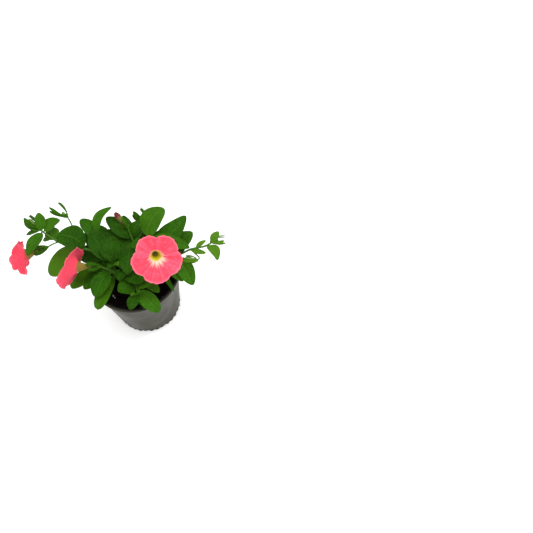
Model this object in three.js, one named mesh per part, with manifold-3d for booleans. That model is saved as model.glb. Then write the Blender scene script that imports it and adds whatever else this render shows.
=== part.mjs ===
// A young coral petunia in a round nursery pot.
// Millimetres, +Z up. The origin is on the pot's axis at the level it stands on.
import * as THREE from 'three';
import { mergeVertices } from 'three/addons/utils/BufferGeometryUtils.js';
import Module from 'manifold-3d';

const wasm = await Module();
wasm.setup();

// ---------------------------------------------------------------- driving sizes

const pot = {
  height: 90,
  rimRadius: 52.5,
  lipHeight: 3,
  edge: 0.6,
  mouthRadius: 48.6,
  shoulderRadius: 49.9,
  footRadius: 40.3,
  wall: 1.2,
  floorUnder: 2,
  floorThick: 1.4,
  footWidth: 3.2,
  padRadius: 11,
  sides: 36,
  notches: 10,
  notchWidth: 9,
  notchHeight: 2.6,
};

const soil = {
  top: 78,
  gap: 0.7,
  bump: 1.1,
  broadWave: 0.21,
  fineWave: 0.57,
  sides: 24,
  rings: [0.87, 0.66, 0.44, 0.22],
  holeRadius: 2.3,
  holeSides: 8,
  holeFloor: 65.5,
  stemFoot: 66,
  neck: 82,
};

const leafThick = 0.7;

const petal = {
  lobes: 5,
  thick: 0.8,
  around: 30,
  footRadius: 1.6,
  waistRadius: 3,
  waistHeight: 13,
  throatDepth: 1.5,
  // The limb's flare: height over the tube's end, and how far out it is, 0 to 1.
  flare: [[1.5, 0.16], [3.4, 0.4], [4.4, 0.7], [4.6, 1]],
  limbCup: 1,
  notch: 0.16,
  notchPower: 0.75,
  lowerLobe: 0.08,
  lobeFold: 1.4,
  unevenFold: 0.8,
};

const stem = {
  radius: 1.7,
  tipRadius: 1.0,
  branchRadius: 1.3,
  pedicelRadius: 0.85,
  sides: 5,
  spacing: 11,
  pedicelSpacing: 7,
  samples: 120,
};

const sepal = {
  count: 5,
  wide: 5,
  thick: 0.7,
  archShare: 0.08,
  rootRadius: 2.5,
  rootDepth: 1.6,
  cupBack: 3.5,
  cupSides: 6,
  cupProfile: [[-4.5, 0.9], [-2.5, 2.2], [-0.4, 3.0]],
  turn: 20,
  spreadVary: 5,
  shorter: 0.12,
  budPinch: 35,
  budSqueeze: 22,
  budSkyward: 0.8,
};

const furled = { start: 0.4, length: 18, radius: 3.1, sides: 9, twist: 0.9 };
const greenBud = { start: -1, sides: 6 };

const finishes = {
  pot: { color: 0x3a3a38, roughness: 0.45 },
  soil: { color: 0x120e0b, roughness: 0.95 },
  leaf: { color: 0x2f7d22, roughness: 0.55 },
  petal: { color: 0xf8506e, roughness: 0.6 },
  closedPetal: { color: 0x9c3a38, roughness: 0.6 },
};

// ---------------------------------------------------------------- small helpers

function vec(point) {
  return new THREE.Vector3(point[0], point[1], point[2]);
}

// A closed body through rings of equal length, from a first ring to a last one.
// Past the ring called turn the quads are split the other way, so that two
// faces of one thin wall are split alike.
function loft(rings, turn = rings.length) {
  const count = rings[0].length;
  const positions = [];
  const index = [];
  for (const ring of rings) {
    for (const point of ring) {
      positions.push(point.x, point.y, point.z);
    }
  }
  for (let row = 0; row < rings.length - 1; row += 1) {
    for (let k = 0; k < count; k += 1) {
      const next = (k + 1) % count;
      const a = row * count + k;
      const b = row * count + next;
      const c = a + count;
      const d = b + count;
      if (row < turn) {
        index.push(a, b, d, a, d, c);
      } else {
        index.push(a, b, c, b, d, c);
      }
    }
  }
  const ends = [rings[0], rings[rings.length - 1]];
  ends.forEach((ring, end) => {
    const middle = new THREE.Vector3();
    ring.forEach((point) => middle.add(point));
    middle.divideScalar(count);
    positions.push(middle.x, middle.y, middle.z);
    const centre = rings.length * count + end;
    const first = end === 0 ? 0 : (rings.length - 1) * count;
    for (let k = 0; k < count; k += 1) {
      const a = first + k;
      const b = first + (k + 1) % count;
      if (end === 0) {
        index.push(centre, b, a);
      } else {
        index.push(centre, a, b);
      }
    }
  });
  const geometry = new THREE.BufferGeometry();
  geometry.setAttribute('position', new THREE.Float32BufferAttribute(positions, 3));
  geometry.setIndex(index);
  return geometry;
}

// The normal of a grid of points at one of its nodes.
function gridNormal(grid, i, j) {
  const rows = grid.length;
  const columns = grid[0].length;
  const along = grid[Math.min(i + 1, rows - 1)][j].clone().sub(grid[Math.max(i - 1, 0)][j]);
  const across = grid[i][Math.min(j + 1, columns - 1)].clone().sub(grid[i][Math.max(j - 1, 0)]);
  return along.cross(across).normalize();
}

// A thin blade around a grid of points, its two faces split into the same triangles.
function sheet(grid, thick) {
  const rows = grid.length;
  const columns = grid[0].length;
  const positions = [];
  const index = [];
  for (const side of [0.5, -0.5]) {
    for (let i = 0; i < rows; i += 1) {
      for (let j = 0; j < columns; j += 1) {
        const point = grid[i][j].clone().addScaledVector(gridNormal(grid, i, j), side * thick);
        positions.push(point.x, point.y, point.z);
      }
    }
  }
  const under = rows * columns;
  const at = (i, j) => i * columns + j;
  for (let i = 0; i < rows - 1; i += 1) {
    for (let j = 0; j < columns - 1; j += 1) {
      const a = at(i, j);
      const b = at(i + 1, j);
      const c = at(i + 1, j + 1);
      const d = at(i, j + 1);
      // The split leans away from the midrib on both halves of the blade.
      if (j < (columns - 1) / 2) {
        index.push(a, b, d, b, c, d);
        index.push(under + a, under + d, under + b, under + b, under + d, under + c);
      } else {
        index.push(a, b, c, a, c, d);
        index.push(under + a, under + c, under + b, under + a, under + d, under + c);
      }
    }
  }
  const edge = [];
  for (let i = 0; i < rows - 1; i += 1) edge.push(at(i, 0));
  for (let j = 0; j < columns - 1; j += 1) edge.push(at(rows - 1, j));
  for (let i = rows - 1; i > 0; i -= 1) edge.push(at(i, columns - 1));
  for (let j = columns - 1; j > 0; j -= 1) edge.push(at(0, j));
  edge.forEach((a, k) => {
    const b = edge[(k + 1) % edge.length];
    index.push(a, under + a, under + b, a, under + b, b);
  });
  const geometry = new THREE.BufferGeometry();
  geometry.setAttribute('position', new THREE.Float32BufferAttribute(positions, 3));
  geometry.setIndex(index);
  return geometry;
}

// Booleans: a closed geometry to a solid, and a solid back to a geometry.
function toSolid(geometry) {
  const plain = new THREE.BufferGeometry();
  plain.setAttribute('position', geometry.getAttribute('position'));
  plain.setIndex(geometry.getIndex());
  const merged = mergeVertices(plain, 1e-4);
  return new wasm.Manifold(new wasm.Mesh({
    numProp: 3,
    vertProperties: new Float32Array(merged.getAttribute('position').array),
    triVerts: new Uint32Array(merged.getIndex().array),
  }));
}

function toGeometry(solid) {
  const mesh = solid.getMesh();
  const geometry = new THREE.BufferGeometry();
  const positions = new Float32Array(mesh.vertProperties);
  geometry.setAttribute('position', new THREE.BufferAttribute(positions, 3));
  geometry.setIndex(new THREE.BufferAttribute(new Uint32Array(mesh.triVerts), 1));
  geometry.computeVertexNormals();
  return geometry;
}

function fuse(geometries) {
  return geometries.map(toSolid).reduce((whole, piece) => whole.add(piece));
}

// ---------------------------------------------------------------- stalks and blades

// A round stalk along a smooth route, thinner towards its tip.
function stalk(route, rootRadius, tipRadius, spacing = stem.spacing) {
  const curve = new THREE.CatmullRomCurve3(route.map(vec), false, 'centripetal');
  const steps = Math.max(3, Math.round(curve.getLength() / spacing));
  const frames = curve.computeFrenetFrames(steps, false);
  const rings = [];
  for (let i = 0; i <= steps; i += 1) {
    const centre = curve.getPointAt(i / steps);
    const radius = THREE.MathUtils.lerp(rootRadius, tipRadius, i / steps);
    const ring = [];
    for (let k = 0; k < stem.sides; k += 1) {
      const angle = (k / stem.sides) * 2 * Math.PI;
      ring.push(centre.clone()
        .addScaledVector(frames.normals[i], radius * Math.cos(angle))
        .addScaledVector(frames.binormals[i], radius * Math.sin(angle)));
    }
    rings.push(ring);
  }
  return loft(rings);
}

// The point on a stem's centre line that is nearest to a given one.
function onStem(route, point) {
  const curve = new THREE.CatmullRomCurve3(route.map(vec), false, 'centripetal');
  const samples = curve.getSpacedPoints(stem.samples);
  const wanted = vec(point);
  samples.sort((p, q) => p.distanceTo(wanted) - q.distanceTo(wanted));
  return samples[0].toArray();
}

// Half width of a blade, 0 to 1, along its length. A blunt one is broadest nearer to
// its tip, and its tip is cut broader by a share of its width.
const leafForm = {
  along: 6,
  across: 4,
  half(u, blunt) {
    const petiole = 0.08;
    const blade = Math.max(0, (u - petiole) / (1 - petiole));
    const place = Math.pow(blade, 0.85 + 0.3 * blunt);
    return Math.pow(Math.sin(Math.PI * place), 0.58 - 0.18 * blunt);
  },
  neck: 0.9,
  point: 1.7,
  bluntTip: 0.15,
  fold: 0.16,
  wave: 0.07,
};

// Narrower leaves have fewer faces and a deeper fold.
const middleLeafForm = { ...leafForm, widest: 22, across: 2, fold: 0.18 };
const smallLeafForm = { ...leafForm, widest: 13, along: 4, across: 2, fold: 0.2 };

const sepalForm = {
  along: 3,
  across: 1,
  half(u) {
    return [0.3, 0.6, 1, 0][Math.round(3 * u)];
  },
  neck: 0.7,
  point: 0.6,
  bluntTip: 0,
  fold: 0,
  wave: 0,
};

// A blade from its root to its tip: arched by so many millimetres, rolled about
// its length by so many degrees, bowed to the side, folded along the midrib and
// waved at the edge.
function blade(root, tip, shape, form, thick, phase = 0) {
  const { wide, arch, roll = 0, sway = 0, blunt = 0 } = shape;
  const start = vec(root);
  const chord = vec(tip).sub(start);
  const ahead = chord.clone().normalize();
  const up = new THREE.Vector3(0, 0, 1);
  const side = ahead.clone().cross(up).normalize();
  side.applyAxisAngle(ahead, THREE.MathUtils.degToRad(roll));
  const normal = side.clone().cross(ahead);
  const tipHalf = form.point + form.bluntTip * blunt * wide;
  const grid = [];
  for (let i = 0; i <= form.along; i += 1) {
    const u = i / form.along;
    const spine = start.clone()
      .addScaledVector(chord, u)
      .addScaledVector(normal, 4 * arch * u * (1 - u))
      .addScaledVector(side, -4 * sway * u * (1 - u));
    const least = THREE.MathUtils.lerp(form.neck, tipHalf, u);
    const half = Math.max(least, 0.5 * wide * form.half(u, blunt));
    const row = [];
    for (let j = 0; j <= form.across; j += 1) {
      const w = (2 * j) / form.across - 1;
      const ripple = form.wave * half * Math.sin(3.2 * Math.PI * u + phase + (w > 0 ? 1.7 : 0));
      const lift = form.fold * half * Math.abs(w) + ripple * w * w;
      row.push(spine.clone().addScaledVector(side, w * half).addScaledVector(normal, lift));
    }
    grid.push(row);
  }
  return sheet(grid, thick);
}

// ---------------------------------------------------------------- flowers

// A frame whose third axis is the way that a flower faces.
function facing(direction, turn = 0) {
  const ahead = vec(direction).normalize();
  const up = new THREE.Vector3(0, 0, 1);
  const right = up.clone().cross(ahead).normalize();
  right.applyAxisAngle(ahead, THREE.MathUtils.degToRad(turn));
  const top = ahead.clone().cross(right);
  return { ahead, right, top };
}

function place(base, frame, x, y, z) {
  return vec(base)
    .addScaledVector(frame.right, x)
    .addScaledVector(frame.top, y)
    .addScaledVector(frame.ahead, z);
}

// The cup that the sepals grow from, with its back end on the pedicel.
function receptacle(head, frame) {
  const rings = sepal.cupProfile.map(([z, radius]) => {
    const ring = [];
    for (let k = 0; k < sepal.cupSides; k += 1) {
      const angle = (k / sepal.cupSides) * 2 * Math.PI;
      ring.push(place(head.base, frame, radius * Math.cos(angle), radius * Math.sin(angle), z));
    }
    return ring;
  });
  return loft(rings);
}

// Five narrow sepals round the foot of a flower or bud, opened by a spread in
// degrees. Those of a closed bud are pinched into two prongs and turned skyward, and
// can be made narrower by a factor.
function calyx(head, frame) {
  const pieces = [receptacle(head, frame)];
  const turn = head.bud ? 0 : sepal.turn;
  const pinch = head.bud ? sepal.budPinch : 0;
  const squeeze = head.bud ? sepal.budSqueeze : 0;
  const skyward = head.bud ? sepal.budSkyward : 0;
  const vary = head.bud ? sepal.spreadVary : 0.5 * sepal.spreadVary;
  for (let k = 0; k < sepal.count; k += 1) {
    const even = (2 * Math.PI * k) / sepal.count;
    const gathered = turn - pinch * Math.sin(2 * even) - squeeze * Math.sin(even);
    const angle = even + THREE.MathUtils.degToRad(gathered);
    const open = THREE.MathUtils.degToRad(head.spread + vary * Math.sin(2.3 * k + sepal.turn));
    const reach = head.sepals * (1 - sepal.shorter * Math.abs(Math.sin(1.9 * k + sepal.turn)));
    const at = (radius, z) => place(
      head.base,
      frame,
      radius * Math.cos(angle),
      radius * Math.sin(angle),
      z,
    );
    const root = at(sepal.rootRadius, -sepal.rootDepth);
    const tipRadius = sepal.rootRadius + reach * Math.sin(open);
    const tip = at(tipRadius, reach * Math.cos(open) - sepal.rootDepth);
    const outward = at(1, 0).sub(at(0, 0));
    outward.z += skyward;
    const wide = sepal.wide * (head.narrow ?? 1);
    pieces.push(sepalBlade(root.toArray(), tip.toArray(), outward, wide, sepal.archShare * reach));
  }
  return pieces;
}

// A sepal: a spatula-shaped blade whose broad face looks along a given direction.
function sepalBlade(root, tip, outward, wide, arch) {
  const ahead = vec(tip).sub(vec(root)).normalize();
  const up = new THREE.Vector3(0, 0, 1);
  const side = ahead.clone().cross(up).normalize();
  const level = side.clone().cross(ahead);
  const flat = outward.clone().addScaledVector(ahead, -outward.dot(ahead)).normalize();
  const roll = Math.atan2(flat.dot(side), flat.dot(level));
  const shape = { wide, arch, roll: THREE.MathUtils.radToDeg(roll) };
  return blade(root, tip, shape, sepalForm, sepal.thick);
}

const budProfile = [[0, 0.5], [0.4, 0.85], [0.7, 1], [0.9, 0.7], [1, 0.25]];
const wiltedProfile = [[0, 0.55], [0.35, 0.8], [0.68, 0.9], [0.88, 1], [1, 0.6]];

// A closed flower: a slim spindle, widest below its tip.
function spindle(base, frame, shape, profile) {
  const rings = profile.map(([u, part]) => {
    const ring = [];
    for (let k = 0; k < shape.sides; k += 1) {
      const angle = (k / shape.sides) * 2 * Math.PI + furled.twist * u;
      const r = shape.radius * part;
      const z = shape.start + u * shape.length;
      ring.push(place(base, frame, r * Math.cos(angle), r * Math.sin(angle), z));
    }
    return ring;
  });
  return loft(rings);
}

// An open flower: a slim tube that widens to the throat and flares into a limb of
// five broad lobes, with a notch between each two and a waved edge. The limb can
// look another way than the tube, be cupped deeper and be notched deeper.
function corolla(flower) {
  const frame = facing(flower.face, flower.turn);
  const { around, lobes } = petal;
  const { throat, tube } = flower;
  const limb = flower.radius;
  const look = vec(flower.look ?? flower.face);
  const leanRight = -look.dot(frame.right) / look.dot(frame.ahead);
  const leanTop = -look.dot(frame.top) / look.dot(frame.ahead);
  const cup = flower.limbCup ?? petal.limbCup;
  const depth = flower.notch ?? petal.notch;
  const profile = [
    [furled.start, petal.footRadius],
    [petal.waistHeight, petal.waistRadius],
    [tube - petal.throatDepth, throat],
    ...petal.flare.map(([rise, out]) => [tube + cup * rise, throat + out * (limb - throat)]),
  ];
  const skin = [];
  for (const [height, radius] of profile) {
    const out = Math.max(0, (radius - throat) / (limb - throat));
    const row = [];
    for (let k = 0; k < around; k += 1) {
      const angle = (k / around) * 2 * Math.PI;
      const lobe = Math.abs(Math.sin(0.5 * lobes * angle));
      const notch = depth * Math.pow(out, 1.6) * (1 - Math.pow(lobe, petal.notchPower));
      const lower = 1 + petal.lowerLobe * out * Math.cos(angle - 1.5 * Math.PI);
      const r = radius * (1 - notch) * lower;
      const x = r * Math.cos(angle);
      const y = r * Math.sin(angle);
      const fold = petal.lobeFold * Math.cos(lobes * angle);
      const uneven = petal.unevenFold * Math.sin(3 * angle + flower.phase);
      const curl = flower.ruffle * Math.sin(2 * angle + flower.phase);
      const lean = leanRight * x + leanTop * y;
      const z = height + out * out * (fold + uneven + curl) + Math.sqrt(out) * lean;
      row.push(place(flower.base, frame, x, y, z));
    }
    skin.push(row);
  }
  const normals = skin.map((row, i) => row.map((point, k) => {
    const later = skin[Math.min(i + 1, skin.length - 1)][k];
    const earlier = skin[Math.max(i - 1, 0)][k];
    const next = row[(k + 1) % around];
    const previous = row[(k + around - 1) % around];
    return next.clone().sub(previous).cross(later.clone().sub(earlier)).normalize();
  }));
  const outer = skin.map((row, i) => row.map((point, k) => (
    point.clone().addScaledVector(normals[i][k], 0.5 * petal.thick))));
  const inner = skin.map((row, i) => row.map((point, k) => (
    point.clone().addScaledVector(normals[i][k], -0.5 * petal.thick))));
  inner.reverse();
  inner.pop();
  return loft([...outer, ...inner], outer.length);
}

// ---------------------------------------------------------------- the plant's plan

// A leaf: a point near its stem, its tip, its width, how far it arches up, rolls
// about its length and bows to the side, and how blunt it is, 0 to 1.
function leaf(root, tip, wide, arch = 2, roll = 0, sway = 0, blunt = 0) {
  return { root, tip, wide, arch, roll, sway, blunt };
}

const flowers = {
  corolla_front: {
    base: [29, 5, 129],
    face: [8, -20, 21],
    turn: 0,
    radius: 27.6,
    throat: 6.4,
    tube: 25,
    ruffle: 0.6,
    phase: 0.4,
    sepals: 15,
    spread: 10,
  },
  corolla_left: {
    base: [-37, -5, 111],
    face: [-29, -2.5, 4],
    look: [-28, 9.5, 3.5],
    turn: 20,
    radius: 24,
    throat: 5.2,
    tube: 21.5,
    limbCup: 1.8,
    notch: 0.06,
    ruffle: 0.9,
    phase: 1.2,
    sepals: 15,
    spread: 8,
  },
  corolla_far_left: {
    base: [-103, 20, 109],
    face: [-26, -10, -2],
    look: [-29, -2, -2.5],
    turn: 76,
    radius: 20.5,
    throat: 5.2,
    tube: 20,
    limbCup: 1.9,
    notch: 0.3,
    ruffle: 3,
    phase: 2.6,
    sepals: 17,
    spread: 8,
  },
};

const shoots = {
  shoot_left: {
    foot: [-14, 5],
    path: [[-30, 12, 96], [-52, 20, 104], [-75, 23, 108], [-87, 27, 110], [-105, 37, 116], [-112, 42, 118]],
    leaves: [
      leaf([-57, 21, 105], [-86, 31, 120.5], 29, 4, 0, -4, 1),
      leaf([-57, 21, 105], [-103, -1, 83], 29, -2, -25, -3, 0.3),
      leaf([-105, 37, 116], [-86, 50, 123], 16, 2, 0, 2),
      leaf([-107, 39, 116], [-111, 57, 127], 13, 2, 0, -1),
      leaf([-90, 29, 111], [-103, 48, 107], 17, 1),
      leaf([-94, 31, 112], [-109, 35, 104], 10, 1),
      leaf([-107, 38, 116], [-131, 51, 114], 10, 1),
      leaf([-109, 39, 117], [-129, 39, 107], 7, 1),
      leaf([-106, 38, 116], [-115, 4, 121], 15, 3),
      leaf([-34, 14, 98], [-68, 25, 94], 29, -1),
      leaf([-34, 14, 98], [-63, 52, 97], 20, 2),
    ],
    pedicels: [
      [[-88, 28, 110], [-93, 25, 110.5], [-98, 22, 110]],
      [[-62, 22, 106], [-68, 36, 104], [-73, 45, 106], [-78, 54, 111]],
    ],
    blooms: ['corolla_far_left'],
    buds: [
      { base: [-114, 44, 119.5], face: [-14, 10, 9], sepals: 17, spread: 5, bud: 12, wide: 2.3 },
      { base: [-84, 61, 116], face: [-15.5, 11, 6], sepals: 21, spread: 13, bud: 6, wide: 2, narrow: 0.7 },
    ],
  },
  shoot_front_left: {
    foot: [-14, -5],
    path: [[-18, -6, 94], [-26, -6, 104], [-33, -5.5, 110]],
    branches: [[[-15, -5, 86], [-24, -4, 91], [-36, -2, 93], [-46, 3, 93]]],
    leaves: [
      leaf([-26, -6, 104], [-38, -39, 101], 21, 4, 0, 0, 0.4),
      leaf([-22, -4, 92], [-36, -51, 94], 17, 3, 0, 0, 1),
      leaf([-46, 3, 93], [-74, -19, 84], 18, 0, 0, 0, 0.6),
      leaf([-35, -2, 93], [-57, -23, 89], 17, 1),
      leaf([-30, -3, 92], [-57, 12, 94], 17, 1),
      leaf([-25, -4, 90], [-37, 17, 81], 15, 0),
    ],
    blooms: ['corolla_left'],
  },
  shoot_crown: {
    foot: [-6, -3],
    path: [[-11, -3, 100], [-17, -5, 119]],
    leaves: [
      leaf([-16, -4, 117], [-47, 35, 124], 22, 5, 0, 3),
      leaf([-16, -4, 118], [-22, 23, 131], 19, 3, 0, 0, 1),
      leaf([-17, -5, 119], [-33, 8, 130], 8, 2),
      leaf([-9, -3, 95], [14, -22, 102], 20, 3),
      leaf([-11, -3, 101], [-12, -21, 106], 14, 3),
      leaf([-16, -5, 118], [-21, -15, 125], 7, 1),
      leaf([-16, -5, 118], [-9, -11, 127], 6, 1),
      leaf([-17, -5, 119], [-22, -3, 131], 5, 1),
    ],
  },
  shoot_back_left: {
    foot: [-14, 14],
    path: [[-25, 23, 96], [-36, 30, 108], [-42, 33, 115]],
    leaves: [
      leaf([-41, 33, 114], [-25, 61, 133], 12, 5, 0, 7),
      leaf([-38, 31, 110], [-67, 58, 111], 17, 3),
      leaf([-28, 25, 100], [-50, 57, 99], 16, 3),
      leaf([-22, 20, 93], [-20, 56, 98], 16, 3),
    ],
  },
  shoot_back: {
    foot: [-1, 14],
    path: [[-1, 22, 97], [-3, 33, 111], [-6, 39, 118]],
    leaves: [
      leaf([-2, 31, 109], [-33, 54, 122], 19, 4),
      leaf([-1, 25, 102], [-38, 39, 114], 19, 4),
      leaf([-2, 28, 105], [-16, 61, 115], 15, 3),
      leaf([-3, 34, 113], [9, 43, 131], 13, 2),
      leaf([-2, 31, 108], [-3, -14, 108], 24, 6),
      leaf([-1, 22, 97], [2, 58, 100], 17, 4),
    ],
    pedicels: [[[-2, 27, 104], [6, 42, 105], [12, 50, 107]]],
    buds: [
      { base: [12, 54, 110.5], face: [-12, 11, 11.5], sepals: 22, spread: 8, bud: 12, wide: 2, narrow: 1.2 },
      { base: [-8, 43, 121], face: [-12, 11, 8], sepals: 12, spread: 24 },
    ],
  },
  shoot_back_right: {
    foot: [9, 12],
    path: [[13, 19, 96], [16, 26, 110], [17, 29, 117]],
    leaves: [
      leaf([17, 28, 115], [34, 61, 132], 27, 4, 0, 4.5, 0.6),
      leaf([14, 22, 103], [60, 57, 120], 26, 5, 0, -8),
      leaf([17, 28, 116], [66, 17, 115], 18, 4),
      leaf([16, 26, 109], [2, 12, 124], 15, 3),
      leaf([13, 19, 96], [34, 50, 101], 18, 3),
    ],
  },
  shoot_right: {
    foot: [10, 2],
    path: [[20, 4, 92], [36, 8, 99], [55, 15, 104], [66, 20, 106], [83, 22, 110], [90, 25, 112]],
    leaves: [
      leaf([34, 8, 99], [67, 42, 109], 25, 4),
      leaf([50, 13, 103], [70, -20, 93], 20, 4),
      leaf([38, 9, 100], [58, -16, 95], 16, 3),
      leaf([26, 5, 95], [49, -29, 94], 6, 3),
      leaf([72, 20, 107], [84, 28, 113], 6, 1),
      leaf([66, 20, 106], [84, 15, 106], 7, 1, 0, -1),
      leaf([90, 25, 112], [99, 37, 118], 10, 1),
      leaf([84, 22, 110], [98, 7, 103], 12, 4, 0, 4),
    ],
    pedicels: [[[66, 20, 106], [73, 13, 106], [77, 9, 105], [74.5, 7, 104.3]]],
    buds: [
      { base: [93, 27, 113], face: [20, 2, 4], sepals: 17, spread: 4, bud: 7, wide: 1.7, narrow: 0.6 },
      { base: [71, 7, 104], face: [-16, 3, -1], sepals: 15, spread: 5, bud: 13, wide: 3 },
    ],
  },
  shoot_bloom: {
    foot: [3, -4],
    path: [[9, 3, 97], [18, 10, 112], [25, 10.5, 121], [27.7, 7.4, 125.5]],
    leaves: [
      leaf([4, -2, 86], [31, -28, 90], 14, 1),
      leaf([10, 4, 99], [19, -22, 108], 17, 4),
      leaf([15, 8, 107], [38, 16, 115], 15, 2),
    ],
    blooms: ['corolla_front'],
  },
  shoot_front: {
    foot: [1, -12],
    path: [[4, -21, 92], [8, -31, 98], [9, -36, 102]],
    leaves: [
      leaf([9, -36, 101], [2, -53, 98], 13, 2),
      leaf([7, -28, 96], [35, -56, 99], 18, 4, 0, 0, 1),
      leaf([4, -19, 91], [-14, -31, 99], 22, 4),
      leaf([3, -17, 88], [25, -21, 101], 20, 3),
      leaf([8, -32, 98], [18, -50, 94], 8, 1),
      leaf([9, -36, 101], [14, -35, 110], 5, 1),
      leaf([9, -36, 101], [3, -40, 109], 4, 1),
    ],
  },
};

// The whole centre line of a shoot: an upright foot in the soil, then its path.
for (const shoot of Object.values(shoots)) {
  const [x, y] = shoot.foot;
  const heights = [soil.stemFoot, 0.5 * (soil.stemFoot + soil.neck), soil.neck];
  shoot.route = [...heights.map((z) => [x, y, z]), ...shoot.path];
}

// ---------------------------------------------------------------- plant pieces

function leafBody(route, plan, number) {
  const root = onStem(route, plan.root);
  let form = leafForm;
  if (plan.wide < middleLeafForm.widest) form = middleLeafForm;
  if (plan.wide < smallLeafForm.widest) form = smallLeafForm;
  return blade(root, plan.tip, plan, form, leafThick, 2.4 * number);
}

function shootPieces(shoot) {
  const pieces = [stalk(shoot.route, stem.radius, stem.tipRadius)];
  for (const route of shoot.branches ?? []) {
    const start = onStem(shoot.route, route[0]);
    pieces.push(stalk([start, ...route.slice(1)], stem.branchRadius, stem.tipRadius));
  }
  const carriers = [shoot.route, ...(shoot.branches ?? [])];
  shoot.leaves.forEach((plan, number) => {
    const nearest = carriers
      .map((route) => ({ route, gap: vec(onStem(route, plan.root)).distanceTo(vec(plan.root)) }))
      .sort((p, q) => p.gap - q.gap)[0];
    pieces.push(leafBody(nearest.route, plan, number));
  });
  const stemEnd = shoot.route[shoot.route.length - 1];
  const heads = [];
  for (const name of shoot.blooms ?? []) {
    const { base, face, sepals, spread } = flowers[name];
    heads.push({ base, face, sepals, spread });
  }
  heads.push(...(shoot.buds ?? []));
  const ends = [stemEnd, ...(shoot.pedicels ?? []).map((route) => route[route.length - 1])];
  const thin = stem.pedicelRadius;
  for (const route of shoot.pedicels ?? []) {
    const start = onStem(shoot.route, route[0]);
    pieces.push(stalk([start, ...route.slice(1)], thin, thin, stem.pedicelSpacing));
  }
  for (const head of heads) {
    const frame = facing(head.face);
    const back = place(head.base, frame, 0, 0, -sepal.cupBack);
    const end = ends.slice().sort((p, q) => vec(p).distanceTo(back) - vec(q).distanceTo(back))[0];
    pieces.push(stalk([end, back.toArray()], thin + 0.1, thin, stem.pedicelSpacing));
    pieces.push(...calyx(head, frame));
    if (head.bud) {
      const shape = { ...greenBud, length: head.bud, radius: head.wide };
      pieces.push(spindle(head.base, frame, shape, budProfile));
    }
  }
  return pieces;
}

function redBud() {
  const head = shoots.shoot_back.buds[1];
  const frame = facing(head.face);
  return spindle(head.base, frame, furled, wiltedProfile);
}

// ---------------------------------------------------------------- pot and soil

const floorTop = pot.floorUnder + pot.floorThick;

// The inside radius of the tapered wall at a height.
function innerRadius(z) {
  const low = pot.footRadius - pot.wall;
  return THREE.MathUtils.mapLinear(z, floorTop, pot.height, low, pot.mouthRadius);
}

function potBody() {
  const drop = pot.height - pot.lipHeight;
  const profile = [
    [0, 0],
    [pot.padRadius, 0],
    [pot.padRadius + 1, pot.floorUnder],
    [pot.footRadius - pot.footWidth - 1, pot.floorUnder],
    [pot.footRadius - pot.footWidth, 0],
    [pot.footRadius, 0],
    [pot.shoulderRadius, drop - 1.5],
    [pot.rimRadius - pot.edge, drop],
    [pot.rimRadius, drop + pot.edge],
    [pot.rimRadius, pot.height - pot.edge],
    [pot.rimRadius - pot.edge, pot.height],
    [pot.mouthRadius, pot.height],
    [innerRadius(floorTop), floorTop],
    [0, floorTop],
  ].map(([radius, z]) => new THREE.Vector2(radius, z));
  const turned = new THREE.LatheGeometry(profile, pot.sides);
  turned.rotateX(Math.PI / 2);
  let body = toSolid(turned);
  for (let k = 0; k < pot.notches; k += 1) {
    const angle = ((k + 0.5) / pot.notches) * 2 * Math.PI;
    const cut = new THREE.BoxGeometry(2 * pot.footWidth + 2, pot.notchWidth, 2 * pot.notchHeight);
    cut.translate(pot.footRadius - 0.5 * pot.footWidth, 0, 0);
    cut.rotateZ(angle);
    body = body.subtract(toSolid(cut));
  }
  return body;
}

// Crumbs of the growing mix, as a height over the plane of the soil.
function crumbs(x, y) {
  const { broadWave, fineWave, bump } = soil;
  const broad = Math.sin(broadWave * x + 1.3) * Math.cos(broadWave * y - 0.6);
  const fine = Math.sin(fineWave * (x - 0.8 * y)) * Math.cos(fineWave * (y + 0.7 * x) + 2.1);
  return bump * (0.6 * broad + 0.4 * fine);
}

function soilBody() {
  const bottom = floorTop + soil.gap;
  const edge = innerRadius(soil.top - soil.bump) - soil.gap;
  const profile = [[0, bottom], [innerRadius(bottom) - soil.gap, bottom], [edge, soil.top]];
  for (const part of soil.rings) {
    profile.push([edge * part, soil.top]);
  }
  profile.push([0, soil.top]);
  const points = profile.map(([radius, z]) => new THREE.Vector2(radius, z));
  const turned = new THREE.LatheGeometry(points, soil.sides);
  turned.rotateX(Math.PI / 2);
  const position = turned.getAttribute('position');
  for (let i = 0; i < position.count; i += 1) {
    if (position.getZ(i) > soil.top - 0.01) {
      const lift = crumbs(position.getX(i), position.getY(i));
      position.setZ(i, soil.top + lift);
    }
  }
  let body = toSolid(turned);
  for (const shoot of Object.values(shoots)) {
    const [x, y] = shoot.foot;
    const depth = soil.neck - soil.holeFloor;
    const hole = new THREE.CylinderGeometry(
      soil.holeRadius,
      soil.holeRadius,
      depth,
      soil.holeSides,
    );
    hole.rotateX(Math.PI / 2);
    hole.translate(x, y, soil.holeFloor + 0.5 * depth);
    body = body.subtract(toSolid(hole));
  }
  return body;
}

// ---------------------------------------------------------------- the assembly

const part = new THREE.Group();

function addMesh(name, solid, finish) {
  const material = new THREE.MeshStandardMaterial({ ...finish, metalness: 0 });
  const mesh = new THREE.Mesh(toGeometry(solid), material);
  mesh.name = name;
  part.add(mesh);
}

addMesh('pot', potBody(), finishes.pot);
addMesh('soil', soilBody(), finishes.soil);

for (const [name, shoot] of Object.entries(shoots)) {
  addMesh(name, fuse(shootPieces(shoot)), finishes.leaf);
}

for (const [name, flower] of Object.entries(flowers)) {
  addMesh(name, toSolid(corolla(flower)), finishes.petal);
}

addMesh('bud_red', toSolid(redBud()), finishes.closedPetal);

export default part;
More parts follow.
